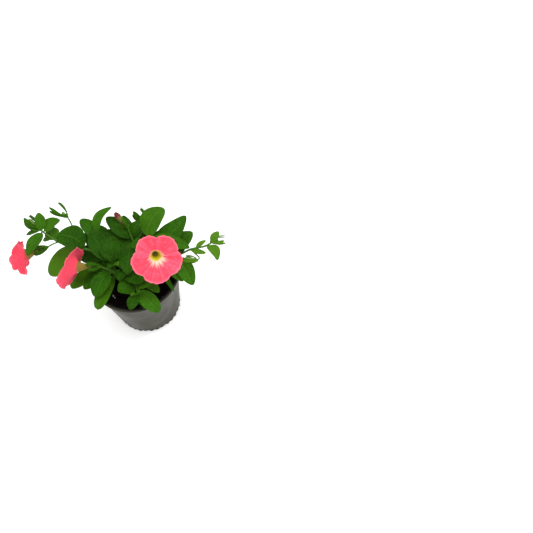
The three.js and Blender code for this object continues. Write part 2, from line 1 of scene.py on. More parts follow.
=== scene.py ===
"""A young coral petunia in its round nursery pot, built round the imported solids.

The plan of the plant is kept in millimetres, as in the solids. Meshes are in metres.
"""

import math
import random

import bpy
import numpy as np
from mathutils import Matrix, Vector, noise


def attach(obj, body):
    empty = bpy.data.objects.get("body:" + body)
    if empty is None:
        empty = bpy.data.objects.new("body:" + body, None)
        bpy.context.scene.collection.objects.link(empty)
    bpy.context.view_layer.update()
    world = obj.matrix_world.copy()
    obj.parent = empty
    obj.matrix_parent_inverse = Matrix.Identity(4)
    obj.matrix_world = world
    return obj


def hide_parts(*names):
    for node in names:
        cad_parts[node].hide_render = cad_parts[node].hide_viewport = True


bl_info = {
    "name": "Potted coral petunia",
    "version": (1, 0, 0),
    "blender": (4, 5, 0),
    "location": "View3D > Sidebar > Petunia",
    "description": "Builds a young coral petunia in its round nursery pot",
    "category": "Add Mesh",
}

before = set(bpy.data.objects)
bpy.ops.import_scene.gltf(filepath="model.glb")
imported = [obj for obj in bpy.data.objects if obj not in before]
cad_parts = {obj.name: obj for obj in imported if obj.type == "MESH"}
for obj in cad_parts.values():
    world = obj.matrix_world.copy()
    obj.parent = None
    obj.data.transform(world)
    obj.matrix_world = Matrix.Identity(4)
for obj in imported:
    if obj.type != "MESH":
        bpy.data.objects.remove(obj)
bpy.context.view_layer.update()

MM = 0.001
UP = np.array([0.0, 0.0, 1.0])
BODY = "root"


# ---------------------------------------------------------------- sizes and colours to change


def length(name, text, millimetres):
    """A length property with its default in millimetres."""
    return bpy.props.FloatProperty(
        name=name, description=text, default=millimetres * MM, min=0.0, precision=5, unit="LENGTH"
    )


def tint(name, text, colour):
    """A colour property."""
    return bpy.props.FloatVectorProperty(
        name=name, description=text, default=colour, size=3, min=0.0, max=1.0, subtype="COLOR"
    )


def strength(name, text, value, most):
    """A plain number property."""
    return bpy.props.FloatProperty(name=name, description=text, default=value, min=0.0, max=most)


def count(name, text, value):
    """A whole number property."""
    return bpy.props.IntProperty(name=name, description=text, default=value, min=0)


class PetuniaPot(bpy.types.PropertyGroup):
    """Sizes and colours of the nursery pot."""

    height: length("Height", "Height of the pot", 90)
    rim_radius: length("Rim radius", "Outer radius of the rim", 52.5)
    mouth_radius: length("Mouth radius", "Inner radius at the top", 48.6)
    shoulder_radius: length("Shoulder radius", "Outer radius just under the lip", 49.9)
    foot_radius: length("Foot radius", "Outer radius of the foot", 40.3)
    lip: length("Lip height", "Height of the lip", 3)
    wall: length("Wall", "Thickness of the wall", 1.2)
    foot_width: length("Foot width", "Width of the foot ring", 3.2)
    floor_under: length("Floor height", "Height of the underside of the floor", 2)
    floor_thick: length("Floor thickness", "Thickness of the floor", 1.4)
    pad_radius: length("Pad radius", "Radius of the pad in the middle of the floor", 11)
    notches: count("Notches", "Gaps in the foot ring", 10)
    notch_width: length("Notch width", "Width of a gap in the foot ring", 9)
    notch_height: length("Notch height", "Height of a gap in the foot ring", 2.6)
    scallops: count("Scallops", "Scallops round the foot", 34)
    scallop_depth: length("Scallop depth", "Depth of the scallops", 1.3)
    colour: tint("Plastic", "Colour of the plastic", (0.0285, 0.0272, 0.0175))
    dust: tint("Dust", "Colour of dried dust on the plastic", (0.052, 0.0485, 0.03))


class PetuniaSoil(bpy.types.PropertyGroup):
    """The growing mix."""

    top: length("Level", "Height of the growing mix", 78)
    gap: length("Gap", "Gap between the growing mix and the pot", 0.7)
    crumbs: count("Crumbs", "Loose crumbs on top", 900)
    grains: count("White grains", "Perlite grains on top", 46)
    colour: tint("Peat", "Colour of damp peat", (0.004, 0.003, 0.0025))
    grain_colour: tint("Perlite", "Colour of the white grains", (0.62, 0.6, 0.55))


class PetuniaFoliage(bpy.types.PropertyGroup):
    """Leaves, stems and sepals."""

    thickness: length("Leaf thickness", "Thickness of a leaf", 0.5)
    vein_depth: length("Vein depth", "Depth of the veins in a leaf", 0.22)
    hair_length: length("Hair length", "Length of the fine hairs", 0.9)
    colour: tint("Leaf", "Colour of a grown leaf", (0.016, 0.088, 0.0012))
    young: tint("Young leaf", "Colour of a young leaf", (0.07, 0.17, 0.009))
    vein: tint("Vein", "Colour of the veins", (0.05, 0.15, 0.01))
    under: tint("Underside", "Colour of the underside", (0.045, 0.13, 0.016))
    stem: tint("Stem", "Colour of the stems", (0.055, 0.15, 0.014))


class PetuniaFlower(bpy.types.PropertyGroup):
    """Petals and what is in the throat."""

    thickness: length("Petal thickness", "Thickness of a petal", 0.45)
    colour: tint("Petal", "Main colour of the limb", (0.74, 0.06, 0.115))
    streak: tint("Streaks", "Darker streaks in the limb", (0.7, 0.036, 0.066))
    edge: tint("Edge", "Paler edge of the lobes", (0.8, 0.16, 0.235))
    star: tint("Star", "Pale star round the throat", (0.82, 0.62, 0.46))
    throat: tint("Throat", "Colour inside the tube", (0.44, 0.37, 0.012))
    back: tint("Back", "Colour of the back of the limb", (0.76, 0.05, 0.09))
    tube: tint("Tube", "Colour of the tube from outside", (0.2, 0.14, 0.022))


class PetuniaStage(bpy.types.PropertyGroup):
    """Floor and light."""

    floor: tint("Floor", "Colour of the floor", (0.93, 0.93, 0.93))
    sky: strength("Sky light", "Strength of the light from all sides", 1.35, 10.0)
    key: strength("Main light", "Power of the soft main light in watts", 6.5, 1000.0)


# ---------------------------------------------------------------- the plant's plan, in millimetres


def leaf(root, tip, wide, arch=2, roll=0, sway=0, blunt=0):
    """A leaf: a point near its stem, its tip and width, its arch, its roll, its bow and how blunt it is."""
    return dict(root=root, tip=tip, wide=wide, arch=arch, roll=roll, sway=sway, blunt=blunt)


def flower_head(base, face, sepals, spread, **more):
    """A flower or a bud: its foot, where it looks, and how long its sepals are and how far they open."""
    return dict(base=base, face=face, sepals=sepals, spread=spread, **more)


FLOWERS = {
    "corolla_front": flower_head(
        [29, 5, 129], [8, -20, 21], 15, 10, turn=0, radius=27.6, throat=6.4, tube=25, ruffle=0.6, phase=0.4
    ),
    "corolla_left": flower_head(
        [-37, -5, 111], [-29, -2.5, 4], 15, 8, look=[-28, 9.5, 3.5], turn=20, radius=24, throat=5.2,
        tube=21.5, limb_cup=1.8, notch=0.06, ruffle=0.9, phase=1.2,
    ),
    "corolla_far_left": flower_head(
        [-103, 20, 109], [-26, -10, -2], 17, 8, look=[-29, -2, -2.5], turn=76, radius=20.5, throat=5.2,
        tube=20, limb_cup=1.9, notch=0.3, ruffle=3, phase=2.6,
    ),
}

SHOOTS = {
    "shoot_left": {
        "foot": [-14, 5],
        "path": [
            [-30, 12, 96], [-52, 20, 104], [-75, 23, 108], [-87, 27, 110], [-105, 37, 116], [-112, 42, 118]
        ],
        "leaves": [
            leaf([-57, 21, 105], [-86, 31, 120.5], 29, 4, 0, -4, 1),
            leaf([-57, 21, 105], [-103, -1, 83], 29, -2, -25, -3, 0.3),
            leaf([-105, 37, 116], [-86, 50, 123], 16, 2, 0, 2),
            leaf([-107, 39, 116], [-111, 57, 127], 13, 2, 0, -1),
            leaf([-90, 29, 111], [-103, 48, 107], 17, 1),
            leaf([-94, 31, 112], [-109, 35, 104], 10, 1),
            leaf([-107, 38, 116], [-131, 51, 114], 10, 1),
            leaf([-109, 39, 117], [-129, 39, 107], 7, 1),
            leaf([-106, 38, 116], [-115, 4, 121], 15, 3),
            leaf([-34, 14, 98], [-68, 25, 94], 29, -1),
            leaf([-34, 14, 98], [-63, 52, 97], 20, 2),
        ],
        "pedicels": [
            [[-88, 28, 110], [-93, 25, 110.5], [-98, 22, 110]],
            [[-62, 22, 106], [-68, 36, 104], [-73, 45, 106], [-78, 54, 111]],
        ],
        "blooms": ["corolla_far_left"],
        "buds": [
            flower_head([-114, 44, 119.5], [-14, 10, 9], 17, 5, bud=12, wide=2.3),
            flower_head([-84, 61, 116], [-15.5, 11, 6], 21, 13, bud=6, wide=2, narrow=0.7),
        ],
    },
    "shoot_front_left": {
        "foot": [-14, -5],
        "path": [[-18, -6, 94], [-26, -6, 104], [-33, -5.5, 110]],
        "branches": [[[-15, -5, 86], [-24, -4, 91], [-36, -2, 93], [-46, 3, 93]]],
        "leaves": [
            leaf([-26, -6, 104], [-38, -39, 101], 21, 4, 0, 0, 0.4),
            leaf([-22, -4, 92], [-36, -51, 94], 17, 3, 0, 0, 1),
            leaf([-46, 3, 93], [-74, -19, 84], 18, 0, 0, 0, 0.6),
            leaf([-35, -2, 93], [-57, -23, 89], 17, 1),
            leaf([-30, -3, 92], [-57, 12, 94], 17, 1),
            leaf([-25, -4, 90], [-37, 17, 81], 15, 0),
        ],
        "blooms": ["corolla_left"],
    },
    "shoot_crown": {
        "foot": [-6, -3],
        "path": [[-11, -3, 100], [-17, -5, 119]],
        "leaves": [
            leaf([-16, -4, 117], [-47, 35, 124], 22, 5, 0, 3),
            leaf([-16, -4, 118], [-22, 23, 131], 19, 3, 0, 0, 1),
            leaf([-17, -5, 119], [-33, 8, 130], 8, 2),
            leaf([-9, -3, 95], [14, -22, 102], 20, 3),
            leaf([-11, -3, 101], [-12, -21, 106], 14, 3),
            leaf([-16, -5, 118], [-21, -15, 125], 7, 1),
            leaf([-16, -5, 118], [-9, -11, 127], 6, 1),
            leaf([-17, -5, 119], [-22, -3, 131], 5, 1),
        ],
    },
    "shoot_back_left": {
        "foot": [-14, 14],
        "path": [[-25, 23, 96], [-36, 30, 108], [-42, 33, 115]],
        "leaves": [
            leaf([-41, 33, 114], [-25, 61, 133], 12, 5, 0, 7),
            leaf([-38, 31, 110], [-67, 58, 111], 17, 3),
            leaf([-28, 25, 100], [-50, 57, 99], 16, 3),
            leaf([-22, 20, 93], [-20, 56, 98], 16, 3),
        ],
    },
    "shoot_back": {
        "foot": [-1, 14],
        "path": [[-1, 22, 97], [-3, 33, 111], [-6, 39, 118]],
        "leaves": [
            leaf([-2, 31, 109], [-33, 54, 122], 19, 4),
            leaf([-1, 25, 102], [-38, 39, 114], 19, 4),
            leaf([-2, 28, 105], [-16, 61, 115], 15, 3),
            leaf([-3, 34, 113], [9, 43, 131], 13, 2),
            leaf([-2, 31, 108], [-3, -14, 108], 24, 6),
            leaf([-1, 22, 97], [2, 58, 100], 17, 4),
        ],
        "pedicels": [[[-2, 27, 104], [6, 42, 105], [12, 50, 107]]],
        "buds": [
            flower_head([12, 54, 110.5], [-12, 11, 11.5], 22, 8, bud=12, wide=2, narrow=1.2),
            flower_head([-8, 43, 121], [-12, 11, 8], 12, 24),
        ],
    },
    "shoot_back_right": {
        "foot": [9, 12],
        "path": [[13, 19, 96], [16, 26, 110], [17, 29, 117]],
        "leaves": [
            leaf([17, 28, 115], [34, 61, 132], 27, 4, 0, 4.5, 0.6),
            leaf([14, 22, 103], [60, 57, 120], 26, 5, 0, -8),
            leaf([17, 28, 116], [66, 17, 115], 18, 4),
            leaf([16, 26, 109], [2, 12, 124], 15, 3),
            leaf([13, 19, 96], [34, 50, 101], 18, 3),
        ],
    },
    "shoot_right": {
        "foot": [10, 2],
        "path": [[20, 4, 92], [36, 8, 99], [55, 15, 104], [66, 20, 106], [83, 22, 110], [90, 25, 112]],
        "leaves": [
            leaf([34, 8, 99], [67, 42, 109], 25, 4),
            leaf([50, 13, 103], [70, -20, 93], 20, 4),
            leaf([38, 9, 100], [58, -16, 95], 16, 3),
            leaf([26, 5, 95], [49, -29, 94], 6, 3),
            leaf([72, 20, 107], [84, 28, 113], 6, 1),
            leaf([66, 20, 106], [84, 15, 106], 7, 1, 0, -1),
            leaf([90, 25, 112], [99, 37, 118], 10, 1),
            leaf([84, 22, 110], [98, 7, 103], 12, 4, 0, 4),
        ],
        "pedicels": [[[66, 20, 106], [73, 13, 106], [77, 9, 105], [74.5, 7, 104.3]]],
        "buds": [
            flower_head([93, 27, 113], [20, 2, 4], 17, 4, bud=7, wide=1.7, narrow=0.6),
            flower_head([71, 7, 104], [-16, 3, -1], 15, 5, bud=13, wide=3),
        ],
    },
    "shoot_bloom": {
        "foot": [3, -4],
        "path": [[9, 3, 97], [18, 10, 112], [25, 10.5, 121], [27.7, 7.4, 125.5]],
        "leaves": [
            leaf([4, -2, 86], [31, -28, 90], 14, 1),
            leaf([10, 4, 99], [19, -22, 108], 17, 4),
            leaf([15, 8, 107], [38, 16, 115], 15, 2),
        ],
        "blooms": ["corolla_front"],
    },
    "shoot_front": {
        "foot": [1, -12],
        "path": [[4, -21, 92], [8, -31, 98], [9, -36, 102]],
        "leaves": [
            leaf([9, -36, 101], [2, -53, 98], 13, 2),
            leaf([7, -28, 96], [35, -56, 99], 18, 4, 0, 0, 1),
            leaf([4, -19, 91], [-14, -31, 99], 22, 4),
            leaf([3, -17, 88], [25, -21, 101], 20, 3),
            leaf([8, -32, 98], [18, -50, 94], 8, 1),
            leaf([9, -36, 101], [14, -35, 110], 5, 1),
            leaf([9, -36, 101], [3, -40, 109], 4, 1),
        ],
    },
}


# ---------------------------------------------------------------- shared sizes
# These are in millimetres and degrees where nothing else is said.


LOBES = 5
SOIL_TOP = 78.0

# Stems start straight down in the growing mix.
STEM_FOOT, STEM_NECK = 66.0, 82.0
STEM_RADIUS, STEM_TIP_RADIUS = 1.7, 1.0
BRANCH_RADIUS = 1.3
PEDICEL_RADIUS, PEDICEL_SWELL = 0.85, 0.1

# A stalk: how far apart its points are, how many of them stay bare in the growing mix, the hairs round
# each of the others, and how much and how far along it swells where a leaf grows.
STALK_STEP, BARE_STEPS, HAIRS_A_STEP = 2.2, 6, 4
NODE_SWELL, NODE_REACH = 0.16, 2.5

# The fine hairs: how thick they are, how much they lean and how their lengths vary.
HAIR_RADIUS, HAIR_LEAN, HAIR_REACH = 0.055, 0.3, (0.6, 1.25)
FACE_HAIRS_A_MM = 2.5

# The calyx: a cup with five sepals, pinched together round a bud.
SEPALS = 5
SEPAL_WIDE, SEPAL_ARCH = 5.0, 0.08
SEPAL_ROOT_RADIUS, SEPAL_ROOT_DEPTH = 2.5, 1.6
SEPAL_TURN = 20.0
SEPAL_SHORTER = 0.12
SPREAD_VARY = 5.0
BUD_PINCH, BUD_SQUEEZE, BUD_SKYWARD = 35.0, 22.0, 0.8
CUP_BACK = 3.5
CUP_PROFILE = [(-4.8, 0.0), (-4.5, 0.9), (-2.5, 2.2), (-0.4, 3.0), (0.2, 2.6), (0.3, 0.0)]
CALYX_TONE, CALYX_DIM = 0.18, 0.85

# The open flower: its tube, then how its limb rises and spreads, as (rise, share of the spread).
FOOT_RADIUS = 1.6
WAIST = (13.0, 3.0)
THROAT_DEPTH = 1.5
COROLLA_ROWS, COROLLA_SIDES = 56, 200
FLARE = [(1.5, 0.16), (3.4, 0.4), (4.4, 0.7), (4.6, 1.0)]
NOTCH, NOTCH_POWER = 0.16, 0.75
LOWER_LOBE = 0.08
LOBE_FOLD, UNEVEN_FOLD = 1.4, 0.8
MOUTH_CORNERS = 0.05
CREASE_DEPTH, FINE_RIB = 0.2, 0.012

# What stands in the tube: depths below its mouth, distances and sizes.
STAMEN_DEPTH, STAMEN_AWAY = 13.0, 2.3
STYLE_DEPTH, STIGMA_DEPTH = 11.0, 10.7
STAMEN_STAGGER = 1.1
FILAMENT_RADII, STYLE_RADII = (0.32, 0.22), (0.4, 0.32)
ANTHER_SIZES, ANTHER_APART, ANTHER_ABOVE = (0.55, 0.95), 0.45, 0.5
STIGMA_SIZES = (1.15, 0.55)

# The flower that is furled again, and the shapes of buds as (share of length, share of radius).
CLOSED_START, CLOSED_LENGTH, CLOSED_RADIUS = 0.4, 18.0, 3.2
CLOSED_PROFILE = [(0, 0.55), (0.35, 0.8), (0.68, 0.9), (0.88, 1), (1, 0.6)]
CLOSED_BUD = SHOOTS["shoot_back"]["buds"][1]
BUD_START = -1
BUD_PROFILE = [(0, 0.5), (0.4, 0.85), (0.7, 1), (0.9, 0.7), (1, 0.25)]

# Leaves: pairs of side veins and their slant, and the widths under which a leaf needs fewer faces.
VEINS, VEIN_SLANT = 8.0, 0.26
MIDDLE_LEAF, SMALL_LEAF = 22, 13
# The half width at a blade's tip, and the width from which a leaf has veins of the full depth.
BLADE_TIP, DEEP_VEINS_FROM = 0.12, 18
# How light each leaf of a shoot is: 1 for a grown one, less with painted shade for one in the shade, more for
# a young yellowish one.
LEAF_LIGHT = {
    "shoot_left": [0.72, 1.5, 1.1, 1.05, 1.4, 1.3, 1.25, 1.0, 1.0, 0.7, 0.7],
    "shoot_front_left": [0.82, 1.15, 1.2, 0.85, 0.8, 0.9],
    "shoot_crown": [0.58, 0.6, 0.6, 0.85, 0.6, 0.65, 1.1, 0.65],
    "shoot_back_left": [1.0, 0.9, 0.85, 0.55],
    "shoot_back": [0.66, 0.7, 0.7, 0.85, 0.72, 0.95],
    "shoot_back_right": [1.05, 0.92, 0.95, 0.8, 0.9],
    "shoot_right": [0.9, 1.0, 1.0, 0.9, 1.85, 1.8, 1.75, 1.7],
    "shoot_bloom": [1.3, 0.9, 0.8],
    "shoot_front": [0.7, 1.0, 0.9, 1.2, 0.8, 1.25, 1.5],
}
# The calyces of the long shoot on the right are young and pale.
for bud in SHOOTS["shoot_right"]["buds"]:
    bud["tone"], bud["dim"] = 0.85, 1.0

# The growing mix: how high its waves are and how fast they follow each other, its grit, the smallest and
# largest radius of its loose bodies, and the white grains in plain view as (x, y, radius).
SOIL_BUMP, BROAD_WAVE, FINE_WAVE = 1.1, 0.21, 0.57
SOIL_GRIT, GRIT_FINENESS = 0.75, 0.55
CRUMB_RADII, LUMP_RADII, GRAIN_RADII = (0.35, 1.0), (1.0, 2.1), (0.35, 0.9)
SEEN_GRAINS = [(-24.6, -27.2, 0.9), (-22.4, -29.6, 1.0)]

# The faces round the pot and round and across the growing mix, and the angles over which edges stay sharp.
POT_SIDES, SOIL_SIDES, SOIL_RINGS = 288, 144, 46
PLANT_CREASE, POT_CREASE = 60, 35

# Where the random draws start.
FOLIAGE_SEED, SOIL_SEED, STYLE_SEED = 7, 21, 9

# Vertices nearer to each other than this become one, in metres.
WELD_GAP = 2e-6

# The photograph's viewing angle: the camera's place in metres, its tilt, its lens and its sensor.
CAMERA_PLACE = (0.1544, -0.30306, 0.67343)
CAMERA_TILT = 27.9
CAMERA_LENS, CAMERA_SENSOR = 37.82, 36.0

# The floor and the soft main light with the point it shines on, in metres.
FLOOR_SIZE, FLOOR_DROP, FLOOR_GLOW = 8, 0.0002, 0.16
LIGHT_PLACE, LIGHT_AIM, LIGHT_SIZE = (0.38, 0.2, 1.15), (0, 0, 0.08), 0.5

for shoot in SHOOTS.values():
    x, y = shoot["foot"]
    heights = [STEM_FOOT, 0.5 * (STEM_FOOT + STEM_NECK), STEM_NECK]
    shoot["route"] = [[x, y, z] for z in heights] + shoot["path"]


# ---------------------------------------------------------------- small mathematics


def unit(vector):
    """A vector of length one."""
    return vector / np.linalg.norm(vector)


def turned(vector, axis, degrees):
    """A vector turned about a unit axis."""
    angle = math.radians(degrees)
    along = axis * np.dot(axis, vector) * (1 - math.cos(angle))
    return vector * math.cos(angle) + np.cross(axis, vector) * math.sin(angle) + along


def smooth_route(points, steps):
    """Evenly spaced points on a centripetal Catmull-Rom curve through some points."""
    given = [np.array(p, float) for p in points]
    ends = [2 * given[0] - given[1], *given, 2 * given[-1] - given[-2]]
    fine = []
    for a, b, c, d in zip(ends, ends[1:], ends[2:], ends[3:]):
        pairs = ((a, b), (b, c), (c, d))
        first, middle, last = (max(math.sqrt(np.linalg.norm(q - p)), 1e-3) for p, q in pairs)
        leave = (b - a) / first - (c - a) / (first + middle) + (c - b) / middle
        arrive = (c - b) / middle - (d - b) / (middle + last) + (d - c) / last
        leave, arrive = leave * middle, arrive * middle
        for t in np.linspace(0, 1, 24, endpoint=False):
            cubic = (2 * b - 2 * c + leave + arrive) * t**3
            square = (-3 * b + 3 * c - 2 * leave - arrive) * t**2
            fine.append(b + leave * t + square + cubic)
    fine.append(given[-1])
    fine = np.array(fine)
    walked = np.concatenate([[0], np.cumsum(np.linalg.norm(np.diff(fine, axis=0), axis=1))])
    wanted = np.linspace(0, walked[-1], steps + 1)
    return np.stack([np.interp(wanted, walked, fine[:, k]) for k in range(3)], axis=1)


def route_length(points):
    """Length of a route in millimetres."""
    fine = smooth_route(points, 60)
    return float(np.linalg.norm(np.diff(fine, axis=0), axis=1).sum())


def nearest_on(route, point):
    """The point on a stem's centre line that is nearest to a given one, and its distance."""
    fine = smooth_route(route, 120)
    gaps = np.linalg.norm(fine - np.array(point, float), axis=1)
    best = int(np.argmin(gaps))
    return fine[best], float(gaps[best])


def facing(direction, turn=0.0):
    """Right, top and ahead of a flower that looks in a direction."""
    ahead = unit(np.array(direction, float))
    right = turned(unit(np.cross(UP, ahead)), ahead, turn)
    return right, np.cross(ahead, right), ahead


def at(base, axes, x, y, z):
    """Points in a flower's own frame. The three numbers may be arrays."""
    right, top, ahead = axes
    x, y, z = (np.asarray(v, float)[..., None] for v in (x, y, z))
    return np.array(base, float) + x * right + y * top + z * ahead


def smoothstep(low, high, value):
    """0 below low, 1 above high, and smooth between."""
    t = np.clip((value - low) / (high - low), 0, 1)
    return t * t * (3 - 2 * t)


# ---------------------------------------------------------------- meshes by hand


def deselect():
    """Leave edit mode with nothing selected."""
    if bpy.context.object and bpy.context.object.mode != "OBJECT":
        bpy.ops.object.mode_set(mode="OBJECT")
    bpy.ops.object.select_all(action="DESELECT")


def pick(*objects):
    """Select these objects alone, and make the first one active."""
    deselect()
    for one in objects:
        one.select_set(True)
    bpy.context.view_layer.objects.active = objects[0]


def apply_all(piece):
    """Apply every modifier of a piece."""
    pick(piece)
    for modifier in list(piece.modifiers):
        bpy.ops.object.modifier_apply(modifier=modifier.name)


def put_value(piece, name, value):
    """Give the points of a piece a number, the same for all or one each."""
    attribute = piece.data.attributes.new(name, "FLOAT", "POINT")
    values = np.empty(len(piece.data.vertices), np.float32)
    values[:] = np.ravel(value)
    attribute.data.foreach_set("value", values)


def put_uv(piece, name, table):
    """Give a piece a UV map from a table with one pair for each vertex."""
    layer = piece.data.uv_layers.get(name) or piece.data.uv_layers.new(name=name)
    corners = np.empty(len(piece.data.loops), np.int32)
    piece.data.loops.foreach_get("vertex_index", corners)
    layer.data.foreach_set("uv", table.reshape(-1, 2)[corners].astype(np.float32).reshape(-1))


def grid_piece(points, u, v, tone, dim=1.0):
    """A primitive grid with its vertices put at a table of points in millimetres."""
    rows, columns = points.shape[:2]
    deselect()
    bpy.ops.mesh.primitive_grid_add(x_subdivisions=columns - 1, y_subdivisions=rows - 1, size=1)
    piece = bpy.context.object
    piece.data.vertices.foreach_set("co", (points * MM).astype(np.float32).reshape(-1))
    while piece.data.uv_layers:
        piece.data.uv_layers.remove(piece.data.uv_layers[0])
    u = np.broadcast_to(u, (rows, columns))
    v = np.broadcast_to(v, (rows, columns))
    put_uv(piece, "along", np.stack([u, v], axis=-1))
    put_value(piece, "tone", tone)
    put_value(piece, "dim", dim)
    piece.data.update()
    return piece


def loose_piece(name, table, faces):
    """A mesh from a table of points in millimetres and its faces."""
    mesh = bpy.data.meshes.new(name)
    mesh.from_pydata([tuple(p) for p in table * MM], [], faces)
    piece = bpy.data.objects.new(name, mesh)
    bpy.context.collection.objects.link(piece)
    return piece


def weld(piece):
    """Join the seam and the poles of a piece that was bent round."""
    pick(piece)
    bpy.ops.object.mode_set(mode="EDIT")
    bpy.ops.mesh.select_all(action="SELECT")
    bpy.ops.mesh.remove_doubles(threshold=WELD_GAP)
    bpy.ops.object.mode_set(mode="OBJECT")


def wear(piece, *materials):
    """Give a piece its materials, all faces on the first one."""
    piece.data.materials.clear()
    for material in materials:
        piece.data.materials.append(material)


def thicken(piece, thickness):
    """Give a blade its thickness, half to each side, and its other face the second material."""
    shell = piece.modifiers.new("thickness", "SOLIDIFY")
    shell.thickness = thickness
    shell.offset = 0.0
    shell.use_even_offset = False
    shell.material_offset = 1
    apply_all(piece)


def smooth(piece, degrees=180):
    """Smooth shading, with creases over an angle or without any."""
    pick(piece)
    if degrees >= 180:
        bpy.ops.object.shade_smooth()
    else:
        bpy.ops.object.shade_smooth_by_angle(angle=math.radians(degrees))


def join(name, pieces):
    """Several pieces as one, with a name."""
    pick(*pieces)
    if len(pieces) > 1:
        bpy.ops.object.join()
    piece = bpy.context.view_layer.objects.active
    piece.name = name
    piece.data.name = name
    return piece


def finish_piece(piece, slot, *nodes):
    """Ride the body and stand for some nodes. The slot is not used."""
    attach(piece, BODY)
    if nodes:
        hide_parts(*nodes)
    return piece


# ---------------------------------------------------------------- materials


# Colours that one finish alone uses, dark before light.
RUST_BLUSH = (0.16, 0.1, 0.04)
BUD_SEAM, BUD_TIP = (0.4, 0.42, 0.16), (0.3, 0.22, 0.09)
TUBE_FOOT = (0.035, 0.085, 0.007)
FURLED_REDS, FURLED_SEAM = ((0.05, 0.006, 0.006), (0.2, 0.022, 0.022)), (0.09, 0.012, 0.012)
FURLED_OLIVES = ((0.06, 0.06, 0.01), (0.2, 0.15, 0.03))
STIGMA_GREENS = ((0.07, 0.1, 0.012), (0.16, 0.18, 0.03))
POLLEN_YELLOWS = ((0.3, 0.24, 0.02), (0.5, 0.42, 0.08))
FILAMENT_GREENS = ((0.16, 0.16, 0.03), (0.3, 0.28, 0.07))
# Painted shadow along the foot of the pot.
POT_FOOT_PAINTED_SHADOW = (0.012, 0.007, 0.004)
PEAT_FIBRE = (0.06, 0.035, 0.018)
BLACK, WHITE = (0.0, 0.0, 0.0), (1.0, 1.0, 1.0)


class Look:
    """A new material, with short calls for its nodes."""

    def __init__(self, name, roughness=0.5, specular=0.5, sheen=0.0, subsurface=0.0):
        self.material = bpy.data.materials.new(name)
        self.material.use_nodes = True
        self.tree = self.material.node_tree
        self.shader = self.tree.nodes["Principled BSDF"]
        self.put(self.shader, "Roughness", roughness)
        self.put(self.shader, "Specular IOR Level", specular)
        self.put(self.shader, "Sheen Weight", sheen)
        if subsurface:
            self.put(self.shader, "Subsurface Weight", subsurface)
            self.put(self.shader, "Subsurface Scale", 0.001)

    def put(self, node, socket, value):
        """Link a socket, or set its number or colour."""
        target = node.inputs[socket]
        if isinstance(value, bpy.types.NodeSocket):
            self.tree.links.new(value, target)
        elif hasattr(value, "__len__") and len(value) == 3 and target.type == "RGBA":
            target.default_value = (*value, 1.0)
        else:
            target.default_value = value

    def node(self, kind, inputs, out=0, **settings):
        """A node with its settings and sockets. Gives one of its outputs."""
        made = self.tree.nodes.new(kind)
        for key, value in settings.items():
            setattr(made, key, value)
        for key, value in inputs.items():
            self.put(made, key, value)
        return made.outputs[out]

    def maths(self, operation, a, b=0.0):
        """One sum with numbers or sockets."""
        return self.node("ShaderNodeMath", {0: a, 1: b}, operation=operation)

    def plus(self, a, b):
        """The sum of two."""
        return self.maths("ADD", a, b)

    def minus(self, a, b):
        """The second taken from the first."""
        return self.maths("SUBTRACT", a, b)

    def times(self, a, b):
        """The product of two."""
        return self.maths("MULTIPLY", a, b)

    def place(self):
        """Object coordinates."""
        return self.node("ShaderNodeTexCoord", {}, out="Object")

    def uv(self, name):
        """A UV map."""
        return self.node("ShaderNodeUVMap", {}, uv_map=name)

    def split(self, vector):
        """The three numbers of a vector."""
        made = self.tree.nodes.new("ShaderNodeSeparateXYZ")
        self.put(made, 0, vector)
        return tuple(made.outputs)

    def value(self, name):
        """A number that the mesh holds."""
        return self.node("ShaderNodeAttribute", {}, out="Fac", attribute_name=name)

    def cloud(self, vector, scale, detail=3.0, roughness=0.55, distortion=0.0):
        """Soft noise from 0 to 1."""
        sockets = {"Vector": vector, "Scale": scale, "Detail": detail, "Roughness": roughness}
        sockets["Distortion"] = distortion
        return self.node("ShaderNodeTexNoise", sockets)

    def stretch(self, vector, scale):
        """A vector stretched along its axes."""
        return self.node("ShaderNodeMapping", {"Vector": vector, "Scale": scale})

    def streaks(self, ring, number, detail=3.0, roughness=0.55):
        """Noise that varies only round a flower, so that it runs along the petals."""
        return self.cloud(self.stretch(ring, (number, number, 1.0)), 1.0, detail, roughness)

    def cells(self, vector, scale):
        """Distance to the edge of a cell."""
        sockets = {"Vector": vector, "Scale": scale}
        return self.node("ShaderNodeTexVoronoi", sockets, feature="DISTANCE_TO_EDGE")

    def step(self, value, low, high, to_low=0.0, to_high=1.0):
        """A smooth step between two numbers."""
        sockets = {"Value": value, "From Min": low, "From Max": high, "To Min": to_low, "To Max": to_high}
        return self.node("ShaderNodeMapRange", sockets, interpolation_type="SMOOTHSTEP")

    def mix(self, factor, first, second, blend="MIX"):
        """Two colours mixed."""
        sockets = {0: factor, 6: first, 7: second}
        return self.node("ShaderNodeMix", sockets, out=2, data_type="RGBA", blend_type=blend)

    def over(self, below, colour, value, low, high, most=1.0):
        """A colour laid over another one, more where a value is higher."""
        return self.mix(self.step(value, low, high, 0.0, most), below, colour)

    def bump(self, height, strength, distance, below=None):
        """Fine relief."""
        sockets = {"Height": height, "Strength": strength, "Distance": distance}
        if below is not None:
            sockets["Normal"] = below
        return self.node("ShaderNodeBump", sockets)

    def finish(self, colour, normal=None, roughness=None):
        """Link what the shader shows, and give the material."""
        self.put(self.shader, "Base Color", colour)
        if roughness is not None:
            self.put(self.shader, "Roughness", roughness)
        if normal is not None:
            self.put(self.shader, "Normal", normal)
        return self.material


def shade(colour, factor):
    """A colour made darker or lighter."""
    return tuple(min(1.0, c * factor) for c in colour)


